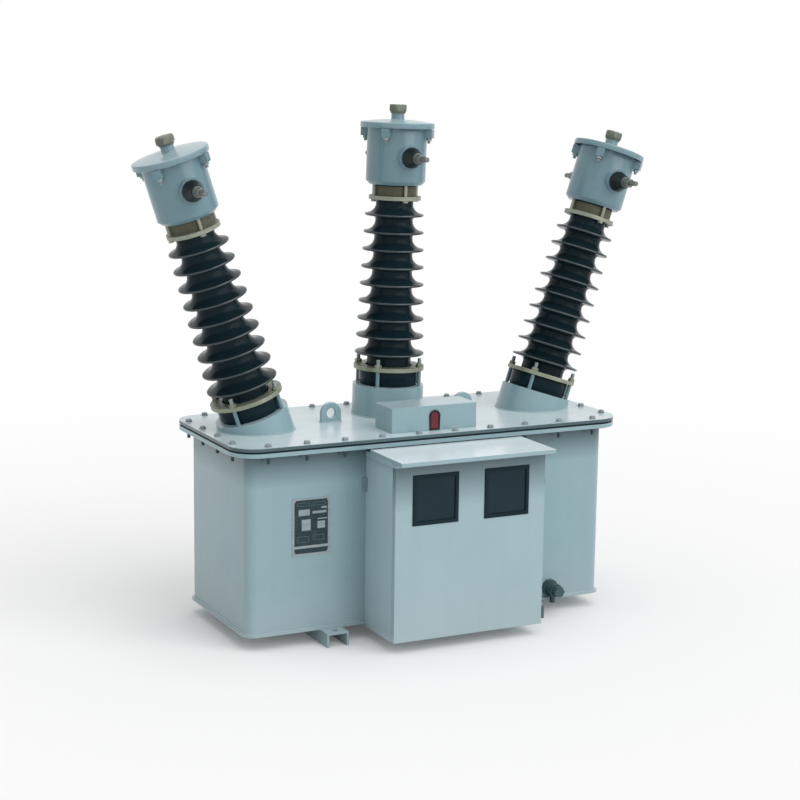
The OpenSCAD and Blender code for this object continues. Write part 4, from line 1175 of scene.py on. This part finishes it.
@dataclass
class Bushings:
    """Three porcelain bushings with their clamp rings; the porcelain's sizes are in millimetres."""

    sheds: int = 9
    shed_pitch: float = 53.2
    shed_radius: Pair = (107.0, 90.5)
    shed_fillet: float = 13.0
    shed_drop: float = 17.0
    shed_lip: float = 3.6
    shed_bend: float = 7.0
    shed_rise: float = 27.0
    pale_lip: float = 2.2
    core_radius: Pair = (68.0, 57.5)
    core_fillet: float = 3.0
    first_shed: float = 94.0
    height: float = 607.6
    bore: float = 35.0
    foot_radius: float = 92.0
    foot_height: float = 44.0
    foot_edge: float = 4.0
    collar_radius: float = 65.0
    collar_height: float = 30.0
    gasket: float = 0.004
    ring_z: float = 0.048
    ring_t: float = 0.012
    ring_edge: float = 0.0014
    stud_circle: float = 0.100
    stud: float = 0.012
    stud_over: float = 0.026
    thread: float = 0.00175
    upper_circle: float = 0.072
    upper_bolt: float = 0.010
    upper_z: float = 0.5696

    def build(self) -> None:
        """Builds porcelain, rings, studs and bolts."""
        for side, place in PLACES.items():
            word = side.value
            mesh = SWEEP.turned(f"porcelain_{word}_glazed", self.outline(), GLAZE, 72, MM)
            self.part_glaze(mesh)
            mesh.transform(place.seat(self.gasket))
            piece(f"porcelain_{word}_glazed", mesh, [GLAZE, COLLAR, LIP_HIGHLIGHT_GLAZE],
                  stands_for=(f"porcelain_{word}",), sharp=TURNED_SHARP)
            for level, plating in (("lower", ZINC), ("upper", DULL_ZINC)):
                rounded(f"{level}_clamp_{word}", f"{level}_ring_{word}", self.ring_edge, [plating, ZINC_EDGE_HIGHLIGHT])
        dress("bushing_gaskets", RUBBER)
        self.studs()
        self.upper_bolts()

    def part_glaze(self, mesh: Mesh) -> None:
        """Numbers the faces of an upright porcelain: 1 for the bare collar, 2 for the lips, whose lighter glaze is
        partly a painted highlight and partly thinner glaze.

        Args:
            mesh: the porcelain.
        """
        collar = (self.height - self.collar_height - 0.5) * MM
        for polygon in mesh.polygons:
            r, z = polygon.center.xy.length / MM, polygon.center.z / MM
            share = min(max((z - self.first_shed) / (self.shed_pitch * (self.sheds - 1)), 0.0), 1.0)
            lip = r > part_way(self.shed_radius, share) - self.pale_lip
            polygon.material_index = 1 if polygon.center.z > collar else 2 if lip else 0

    def outline(self) -> Outline:
        """Returns the porcelain's closed outline in millimetres."""
        foot, high, top, edge = self.foot_radius, self.foot_height, self.height, self.foot_edge
        root, fillet, lip, bend = self.core_fillet, self.shed_fillet, self.shed_lip, self.shed_bend
        line: Outline = [(self.bore, 0.0), (foot - edge, 0.0), (foot, edge)]
        line += arc((foot - edge, high - edge), edge, 0.0, 90.0, 5)
        line += arc((self.core_radius[0] + root, high + root), root, 270.0, 180.0, 5)
        for k in range(self.sheds):
            share = k / (self.sheds - 1)
            r, c = part_way(self.shed_radius, share), part_way(self.core_radius, share)
            z = self.first_shed + k * self.shed_pitch
            line += arc((c + fillet, z - self.shed_drop), fillet, 180.0, 96.0, 7)
            line += arc((r - lip, z), lip, -86.0, 62.0, 8)
            line += curve((r - lip, z + lip), (c + bend, z + bend), (c, z + self.shed_rise), 10)
        collar = top - self.collar_height
        line += arc((self.core_radius[1] + root, collar - root), root, 180.0, 90.0, 4)
        line += [(self.collar_radius, collar), (self.collar_radius, top), (self.bore, top), (self.bore, 0.0)]
        return line

    def studs(self) -> None:
        """Sets the lower ring's studs, painted below the ring, and their nuts."""
        ring_top = self.ring_z + self.ring_t
        painted = self.ring_z + self.ring_t * 0.5
        rod = threaded(self.stud / 2, 0.0, ring_top + self.stud_over, self.thread, painted, ZINC)
        spots = circle_spots(self.stud_circle, 45.0, 0.0, UP)
        fastened("ring_studs", "lower_ring_studs", rod, spots, [BOLT, HEAD_PAINT])
        spots = circle_spots(self.stud_circle, 45.0, ring_top, UP)
        fastened("ring_nuts", "lower_ring_nuts", nut(self.stud), spots, [ZINC], math.pi, 4)

    def upper_bolts(self) -> None:
        """Sets the upper ring's bolts, heads down, with their shanks up to the pot's floor."""
        d = self.upper_bolt
        reach = self.ring_t + self.collar_height * MM + self.gasket
        shank = SWEEP.turned("shank", [(0.0, -reach), (d / 2, -reach), (d / 2, 0.001), (0.0, 0.001)], ZINC, 16)
        bolt = joined("ring_bolt", [hexagon(d, HEAD_HIGH * d), shank])
        spots = circle_spots(self.upper_circle, 0.0, self.upper_z, DOWN)
        fastened("clamp_bolts", "upper_ring_bolts", bolt, spots, [DULL_ZINC], math.pi, 6)


@dataclass
class Heads:
    """Oil heads on the bushings with covers, filler caps and terminals; covers and insulators are in millimetres."""

    pot_radius: float = 0.091
    edge: float = 0.0012
    cover_z: float = 0.7976
    cover_radius: float = 113.0
    cover_t: float = 6.0
    cover_rim: float = 17.0
    cover_wall: float = 4.0
    cover_edge: float = 0.8
    cover_crown: float = 8.0
    cover_fillet: float = 3.0
    neck_radius: float = 20.0
    neck_wall: float = 5.0
    neck_height: float = 19.0
    stud_circle: float = 0.102
    stud: float = 0.010
    stud_over: float = 0.008
    thread: float = 0.0015
    pad_under: float = 0.038
    terminal_z: float = 0.7006
    boss_y: float = 0.101
    boss_radius: float = 0.036
    bead: float = 0.0022
    insulator: Pair = (62.0, 44.0)
    cone_sharp: float = 45.0
    terminal: float = 0.016
    terminal_thread: float = 0.002
    terminal_tip: float = 0.207
    tip_bevel: float = 0.0015
    washer_t: float = 0.003
    nut_gap: float = 0.00002

    def build(self) -> None:
        """Builds pots, covers, caps, studs, terminals and weld beads."""
        beads = []
        for side, place in PLACES.items():
            word = side.value
            rounded(f"oil_pot_{word}", f"head_pot_{word}", self.edge, [HEAD_PAINT, HEAD_EDGE_HIGHLIGHT])
            cover = SWEEP.turned(f"oil_cover_{word}", self.cover_outline(), COVER_PAINT, 72, MM)
            cover.transform(place.seat(self.cover_z))
            piece(f"oil_cover_{word}", cover, [COVER_PAINT], stands_for=(f"head_cover_{word}",),
                  sharp=TURNED_SHARP)
            rounded(f"filler_hex_{word}", f"filler_cap_{word}", self.edge, [BRASS, BRASS_EDGE_HIGHLIGHT])
            beads += self.beads(place)
        piece("head_welds", joined("head_welds", beads), [HEAD_PAINT], sharp=BEAD_SHARP)
        self.cover_studs()
        self.cones()
        self.terminals()

    def cover_outline(self) -> Outline:
        """Returns the cover's closed outline in millimetres, with rounded rim and neck."""
        rim, t, wall, edge = self.cover_radius, self.cover_t, self.cover_wall, self.cover_edge
        low, crown, neck, fillet = t - self.cover_rim, t + self.cover_crown, self.neck_radius, self.cover_fillet
        bore = neck - self.neck_wall
        line: Outline = [(bore, 0.0), (rim - wall, 0.0), (rim - wall, low + edge), (rim - wall + edge, low),
                         (rim - edge, low), (rim, low + edge)]
        line += arc((rim - fillet, t - fillet), fillet, 0.0, 78.0, 5)
        line += curve((rim - fillet, t), (rim / 2, crown), (neck + fillet, crown), 12)
        line += arc((neck + fillet, crown + fillet), fillet, 270.0, 180.0, 4)
        line += [(neck, crown + self.neck_height), (bore, crown + self.neck_height), (bore, 0.0)]
        return line

    def cover_studs(self) -> None:
        """Sets the cover's studs with their nuts under the pot's lugs."""
        end = self.pad_under + NUT_HIGH * self.stud + self.stud_over
        rod = threaded(self.stud / 2, 0.0, end, self.thread, self.pad_under * 0.6, BOLT)
        stud = joined("cover_stud", [rod, nut(self.stud, self.pad_under)])
        spots = circle_spots(self.stud_circle, 45.0, self.cover_z, DOWN)
        fastened("cover_studs", "cover_bolts", stud, spots, [BOLT], 0.6, 7)

    def terminal_spots(self, reach: float) -> Spots:
        """Returns places on the terminals' axes, front and rear of each head."""
        return [place.spot((0.0, s * reach, 0.0), (0.0, s, 0.0), self.terminal_z)
                for place in PLACES.values() for s in (-1.0, 1.0)]

    def cones(self) -> None:
        """Sets the terminals' insulators."""
        wide, high = self.insulator[0] / 2, self.insulator[1]
        bore, edge = self.terminal / 2 / MM + 0.1, 0.8
        cone: Outline = [(bore, 0.0), (wide - edge, 0.0), (wide, edge), (wide, high * 0.2 - 1.0)]
        cone += curve((wide, high * 0.2 - 1.0), (wide * 0.98, high * 0.24), (wide * 0.86, high * 0.42), 5)
        cone += curve((wide * 0.86, high * 0.42), (wide * 0.70, high * 0.72), (wide * 0.66, high * 0.86), 5)
        cone += [(wide * 0.63, high - edge), (wide * 0.60, high), (bore, high), (bore, 0.0)]
        fastened("terminal_cones", "terminal_insulators", SWEEP.turned("cone", cone, RESIN, 36, MM),
                 self.terminal_spots(self.boss_y), [RESIN], sharp=self.cone_sharp)

    def terminals(self) -> None:
        """Sets the threaded studs and their pairs of nuts."""
        d, thick = self.terminal, self.washer_t
        nut_y = self.insulator[1] * MM
        plain = nut_y + thick + 2 * NUT_HIGH * d
        rod = threaded(d / 2, 0.0, plain + 0.001, self.terminal_thread, 0.002, TERMINAL)
        tip_l, tip_r = self.terminal_tip - self.boss_y, d / 2 - 0.0005
        tip = SWEEP.turned("tip", [(0.0, plain), (tip_r, plain), (tip_r, tip_l - self.tip_bevel),
                                   (tip_r - self.tip_bevel, tip_l), (0.0, tip_l)], TERMINAL, 24)
        fastened("terminal_rods", "terminal_studs", joined("terminal_rod", [rod, tip]),
                 self.terminal_spots(self.boss_y), [TERMINAL])
        pair = joined("nut_pair", [washer(d, d / 2, thick, TERMINAL, 28), nut(d, thick),
                                   nut(d, thick + NUT_HIGH * d + self.nut_gap)])
        fastened("terminal_nut_pairs", "terminal_nuts", pair, self.terminal_spots(self.boss_y + nut_y), [TERMINAL],
                 0.9, 11)

    def beads(self, place: BushingPlace) -> list[Mesh]:
        """Lays the beads where the terminal bosses meet a pot.

        Args:
            place: the pot's bushing.

        Returns:
            The front and the rear bead, in place.
        """
        beads = []
        for s in (-1.0, 1.0):
            path = []
            for a in full_turn(72):
                x, z = self.boss_radius * math.cos(a), self.boss_radius * math.sin(a)
                path.append(((x, s * math.sqrt(self.pot_radius ** 2 - x * x), z), (math.cos(a), 0.0, math.sin(a))))
            beads.append(SWEEP.weld("boss_weld", path, self.bead, HEAD_PAINT, (0.0, s, 0.0)))
            beads[-1].transform(place.seat(self.terminal_z))
        return beads


@dataclass
class MeterBox:
    """Sheet-metal box with its roof and the hinged door with two windows."""

    edge: float = 0.0009
    pane_edge: float = 0.0005
    inner_edge: float = 0.0008
    board_edge: float = 0.0012
    door_front: float = TANK_Y - 0.428
    window: float = 0.150
    frame: float = 0.012
    out: float = 0.004
    sleeve: Pair = (0.0052, 0.006)
    window_z: float = 0.4535
    windows_x: Pair = (-0.092, 0.142)

    def build(self) -> None:
        """Builds box, roof, door, windows, hinges and the fittings inside."""
        rounded("box_shell", "meter_box", self.edge, [BOX_PAINT, TANK_EDGE_HIGHLIGHT], sharp=FLAT_SHARP)
        rounded("rain_roof", "box_roof", self.edge, [ROOF_PAINT], sharp=FLAT_SHARP)
        rounded("door_shell", "box_door", self.edge, [DOOR_PAINT, TANK_EDGE_HIGHLIGHT], Body.DOOR, FLAT_SHARP)
        for side, body in (("box", Body.BASE), ("door", Body.DOOR)):
            rounded(f"hinge_{side}_side", f"hinge_leaves_{side}", self.edge, [HINGE_PAINT], body)
        piece("window_seals", joined("window_seals", [self.seal(x) for x in self.windows_x]), [RUBBER],
              Body.DOOR, ("window_frames",), TURNED_SHARP)
        rounded("window_lights", "window_panes", self.pane_edge, [PANE], Body.DOOR)
        dress("hinge_pins", SHADED_BOLT)
        rounded("mounting_panel", "meter_panel", self.inner_edge, [PANEL])
        rounded("secondary_board", "terminal_board", self.board_edge, [BOARD])
        rounded("side_brackets", "box_brackets", self.inner_edge, [BRACKET])

    def seal(self, x: float) -> Mesh:
        """Makes one rubber frame: a rounded lip outside the sheet and a sleeve through it.

        Args:
            x: the window's middle.

        Returns:
            The frame's mesh in place.
        """
        w, inner, out = self.frame, self.window / 2 - self.frame, self.out
        wall, deep = self.sleeve
        lip = [(0.0, deep), (0.0, -out + 0.0012), (0.0015, -out), (w - 0.004, -out), (w - 0.0008, -out * 0.55),
               (w, 0.0), (w - wall, 0.0), (w - wall, deep)]
        corners = ((1.0, 1.0), (-1.0, 1.0), (-1.0, -1.0), (1.0, -1.0), (1.0, 1.0))
        path = [((inner * sx, inner * sy, 0.0), (sx, sy, 0.0)) for sx, sy in corners]
        mesh = SWEEP.along("window_seal", eased(lip, 0.0012), path, RUBBER)
        mesh.transform(Matrix.Translation((x, self.door_front, self.window_z)) @ Matrix.Rotation(-math.pi / 2, 4, "X"))
        return mesh


@dataclass
class OilGauge:
    """Gauge housing on the lid with its arched window."""

    x: float = 0.006
    front: float = TANK_Y - 0.225
    width: float = 0.036
    height: float = 0.062
    bezel: float = 0.005
    bezel_edge: float = 0.0014
    stand: float = 0.004
    edge: float = 0.0018
    pane_edge: float = 0.001

    def build(self) -> None:
        """Builds housing, bezel and red window."""
        rounded("gauge_case", "gauge_housing", self.edge, [TANK_PAINT, TANK_EDGE_HIGHLIGHT], sharp=FLAT_SHARP)
        piece("gauge_ring", self.ring(), [RESIN], stands_for=("gauge_bezel",), sharp=TURNED_SHARP)
        rounded("gauge_scale", "gauge_window", self.pane_edge, [RED_SCALE])

    def ring(self) -> Mesh:
        """Returns the rounded bezel that follows the window's arch."""
        r, low, top, slant = self.width / 2 - self.bezel, self.bezel, self.height - self.width / 2, 0.7071
        path = [((-r, 0.0, low), (-slant, 0.0, -slant)), ((-r, 0.0, top), (-1.0, 0.0, 0.0))]
        for k in range(1, 12):
            a = math.pi * (1.0 - k / 12)
            path.append(((r * math.cos(a), 0.0, top + r * math.sin(a)), (math.cos(a), 0.0, math.sin(a))))
        path += [((r, 0.0, top), (1.0, 0.0, 0.0)), ((r, 0.0, low), (slant, 0.0, -slant)), path[0]]
        lip = eased([(0.0, 0.0), (self.bezel, 0.0), (self.bezel, self.stand), (0.0, self.stand)], self.bezel_edge)
        mesh = SWEEP.along("gauge_ring", lip, path, RESIN, FRONT)
        mesh.transform(Matrix.Translation((self.x, self.front, LID_Z)))
        return mesh


@dataclass
class FrontFittings:
    """Drain valve and the bare plate on the front wall; boxes on the plate are left, bottom, right and top."""

    drain_edge: float = 0.0012
    plate_x: float = -0.396
    plate_z: float = 0.357
    plate_w: float = 0.120
    plate_h: float = 0.170
    plate_t: float = 0.0015
    film: float = 0.0001
    rule: float = 0.0012
    rivet: float = 0.006
    rivet_edge: float = 0.008
    fields: tuple[Box, ...] = ((-0.053, -0.056, 0.053, 0.080), (-0.053, -0.079, 0.053, -0.064))
    blanks: tuple[Box, ...] = ((-0.040, 0.034, -0.005, 0.052), (0.032, 0.052, 0.050, 0.057),
                               (0.004, 0.038, 0.048, 0.045), (-0.030, -0.011, -0.002, 0.022),
                               (0.020, -0.007, 0.044, 0.014), (0.020, 0.020, 0.050, 0.023))
    ruled: tuple[Box, ...] = ((-0.045, 0.062, -0.006, 0.072), (0.006, 0.062, 0.045, 0.072),
                              (-0.045, -0.046, -0.008, -0.028), (0.006, -0.042, 0.040, -0.026))

    def build(self) -> None:
        """Builds drain, plate and rivets."""
        for node, name in (("drain_valve", "drain_body"), ("drain_plug", "drain_cap")):
            rounded(name, node, self.drain_edge, [DRAIN])
        piece("blank_plate", self.plate(), [PLATE_SILVER, PLATE_DARK, PLATE_RULE],
              stands_for=("nameplate",))
        self.rivets()

    def plate(self) -> Mesh:
        """Returns the plate: a bright border, dark fields, and blank blocks and empty ruled boxes in them."""
        work = bmesh.new()
        half_w, half_h, thin = self.plate_w / 2, self.plate_h / 2, self.film
        self.slab(work, (-half_w, -half_h, half_w, half_h), 0.0, self.plate_t, 0)
        lift = self.plate_t + thin
        for box in self.fields:
            self.slab(work, box, self.plate_t - 2 * thin, lift, 1)
        for box in self.blanks:
            self.slab(work, box, lift - thin, lift + thin, 0)
        for x0, z0, x1, z1 in self.ruled:
            self.slab(work, (x0, z0, x1, z1), lift - thin, lift + thin, 2)
            self.slab(work, (x0 + self.rule, z0 + self.rule, x1 - self.rule, z1 - self.rule), lift, lift + 2 * thin, 1)
        mesh = bpy.data.meshes.new("blank_plate")
        work.to_mesh(mesh)
        work.free()
        mesh.transform(Matrix.Translation((self.plate_x, WALL_Y, self.plate_z)))
        return mesh

    @staticmethod
    def slab(work: bmesh.types.BMesh, box: Box, low: float, high: float, number: int) -> None:
        """Adds a flat block that stands off the wall.

        Args:
            work: the mesh under way.
            box: its place on the wall.
            low: where it starts off the wall.
            high: where it ends.
            number: its material number.
        """
        x0, z0, x1, z1 = box
        corners = [(x, -y, z) for y in (low, high) for x, z in ((x0, z0), (x1, z0), (x1, z1), (x0, z1))]
        points = [work.verts.new(c) for c in corners]
        for loop in ((3, 2, 1, 0), (4, 5, 6, 7), (0, 1, 5, 4), (1, 2, 6, 5), (2, 3, 7, 6), (3, 0, 4, 7)):
            work.faces.new([points[i] for i in loop]).material_index = number

    def rivets(self) -> None:
        """Sets the domed rivets."""
        r = self.rivet / 2
        dome = [(0.0, 0.0), (r, 0.0)] + arc((0.0, 0.0), r, 12.0, 80.0, 4) + [(0.0, r)]
        rivet = SWEEP.turned("rivet", [(u, v * 0.5) for u, v in dome], PLATE_SILVER, 16)
        x, z = self.plate_w / 2 - self.rivet_edge, self.plate_h / 2 - self.rivet_edge
        spots = [(Vector((self.plate_x + sx * x, WALL_Y - self.plate_t, self.plate_z + sz * z)), Vector(FRONT))
                 for sx in (-1, 1) for sz in (-1, 1)]
        fastened("plate_rivets", "nameplate_rivets", rivet, spots, [PLATE_SILVER], sharp=TURNED_SHARP)


@dataclass
class InnerWorks:
    """Core, windings and conductors inside the closed tank."""

    finishes: tuple[tuple[str, Finish], ...] = (("core_frame", CORE), ("vt_core", CORE), ("vt_windings", WINDING),
                                                ("ct_rings", WINDING), ("primary_conductors", COPPER))

    def build(self) -> None:
        """Dresses the inner solids, which keep their shapes."""
        for node, finish in self.finishes:
            dress(node, finish)


@dataclass
class Studio:
    """Pale floor, soft light and the camera at the photograph's angle."""

    camera_at: Point = (-2.5387, TANK_Y - 5.0859, 1.7166)
    target: Point = (0.0028, TANK_Y, 0.6618)
    roll: float = 0.75
    lens: float = 84.65
    sensor: float = 36.0
    sight: float = 200.0
    sky: float = 0.62
    key: float = 1.4
    key_from: Point = (0.40, -0.72, 0.52)
    top: float = 0.8
    top_from: Point = (0.05, -0.10, 1.0)
    lamp_spread: float = 60.0
    floor_colour: RGB = (0.80, 0.80, 0.80)
    floor_lift: float = 0.08
    floor_radius: float = 40.0
    floor_fade: Pair = (1.6, 4.5)

    def build(self) -> None:
        """Builds camera, world, lamps and floor."""
        scene = bpy.context.scene
        scene.view_settings.view_transform = "Standard"
        self.camera(scene)
        self.world(scene)
        self.lamp("key_light", self.key_from, self.key)
        self.lamp("top_light", self.top_from, self.top)
        self.floor()

    def camera(self, scene: bpy.types.Scene) -> None:
        """Sets up the camera.

        Args:
            scene: the scene that it looks at.
        """
        data = bpy.data.cameras.new("photo_camera")
        data.sensor_fit = "HORIZONTAL"
        data.sensor_width = self.sensor
        data.lens = self.lens
        data.clip_end = self.sight
        obj = bpy.data.objects.new("photo_camera", data)
        scene.collection.objects.link(obj)
        back = (Vector(self.camera_at) - Vector(self.target)).normalized()
        right = Vector(UP).cross(back).normalized()
        up = back.cross(right)
        turn = math.radians(self.roll)
        side = right * math.cos(turn) + up * math.sin(turn)
        head = up * math.cos(turn) - right * math.sin(turn)
        frame = Matrix((side, head, back)).transposed().to_4x4()
        obj.matrix_world = Matrix.Translation(self.camera_at) @ frame
        scene.camera = obj

    def seen(self, board: NodeBoard) -> Socket:
        """Finds the rays that show the background: camera, glossy and transmission.

        Args:
            board: the nodes of the world or the floor.

        Returns:
            1 for those rays, otherwise 0.
        """
        path = board.add("ShaderNodeLightPath")
        mirrored = board.math("ADD", path["Is Glossy Ray"], path["Is Transmission Ray"])
        return board.math("MINIMUM", board.math("ADD", path["Is Camera Ray"], mirrored), 1.0)

    def world(self, scene: bpy.types.Scene) -> None:
        """Sets a white world that lights at the sky's level.

        Args:
            scene: the scene that it lights.
        """
        world = bpy.data.worlds.new("studio_world")
        world.use_nodes = True
        scene.world = world
        board = NodeBoard(world.node_tree)
        level = board.span(self.seen(board), 0.0, 1.0, self.sky, 1.0)
        white = board.add("ShaderNodeBackground", {"Color": (1.0, 1.0, 1.0), "Strength": level})
        board.add("ShaderNodeOutputWorld", {"Surface": white[0]})

    def lamp(self, name: str, towards: Point, strength: float) -> None:
        """Adds a broad, soft sun.

        Args:
            name: the lamp's name.
            towards: direction from the object to the lamp.
            strength: its strength.
        """
        data = bpy.data.lights.new(name, "SUN")
        data.energy = strength
        data.angle = math.radians(self.lamp_spread)
        obj = bpy.data.objects.new(name, data)
        obj.rotation_euler = Vector(towards).to_track_quat("Z", "Y").to_euler()
        bpy.context.scene.collection.objects.link(obj)

    def floor(self) -> None:
        """Lays the floor, which keeps the shadow near the object and is white far away."""
        rim = [(self.floor_radius * math.cos(a), self.floor_radius * math.sin(a), 0.0) for a in full_turn(96)[:-1]]
        obj = set_down("studio_floor", mesh_of("studio_floor", rim, [list(range(len(rim)))]))
        material = bpy.data.materials.new("studio_floor")
        material.use_nodes = True
        board = NodeBoard(material.node_tree)
        place = board.add("ShaderNodeTexCoord")["Object"]
        far = board.add("ShaderNodeVectorMath", {0: place}, operation="LENGTH")["Value"]
        fade = board.math("MULTIPLY", board.span(far, *self.floor_fade, 0.0, 1.0), self.seen(board))
        matt = board.add("ShaderNodeBsdfDiffuse", {"Color": self.floor_colour})
        glow = board.add("ShaderNodeEmission", {"Strength": board.math("MULTIPLY", self.seen(board), self.floor_lift)})
        near = board.add("ShaderNodeAddShader", {0: matt[0], 1: glow[0]})
        white = board.add("ShaderNodeEmission")
        blend = board.add("ShaderNodeMixShader", {0: fade, 1: near[0], 2: white[0]})
        board.add("ShaderNodeOutputMaterial", {"Surface": blend[0]})
        obj.data.materials.append(material)


def main() -> None:
    """Builds the studio and every sub-assembly in order."""
    logging.basicConfig(level=logging.INFO, format="%(message)s")
    for part in (Studio(), Tank(), Lid(), Bushings(), Heads(), MeterBox(), OilGauge(), FrontFittings(), InnerWorks()):
        LOG.info("building %s", type(part).__name__)
        part.build()


if __name__ == "__main__":
    main()
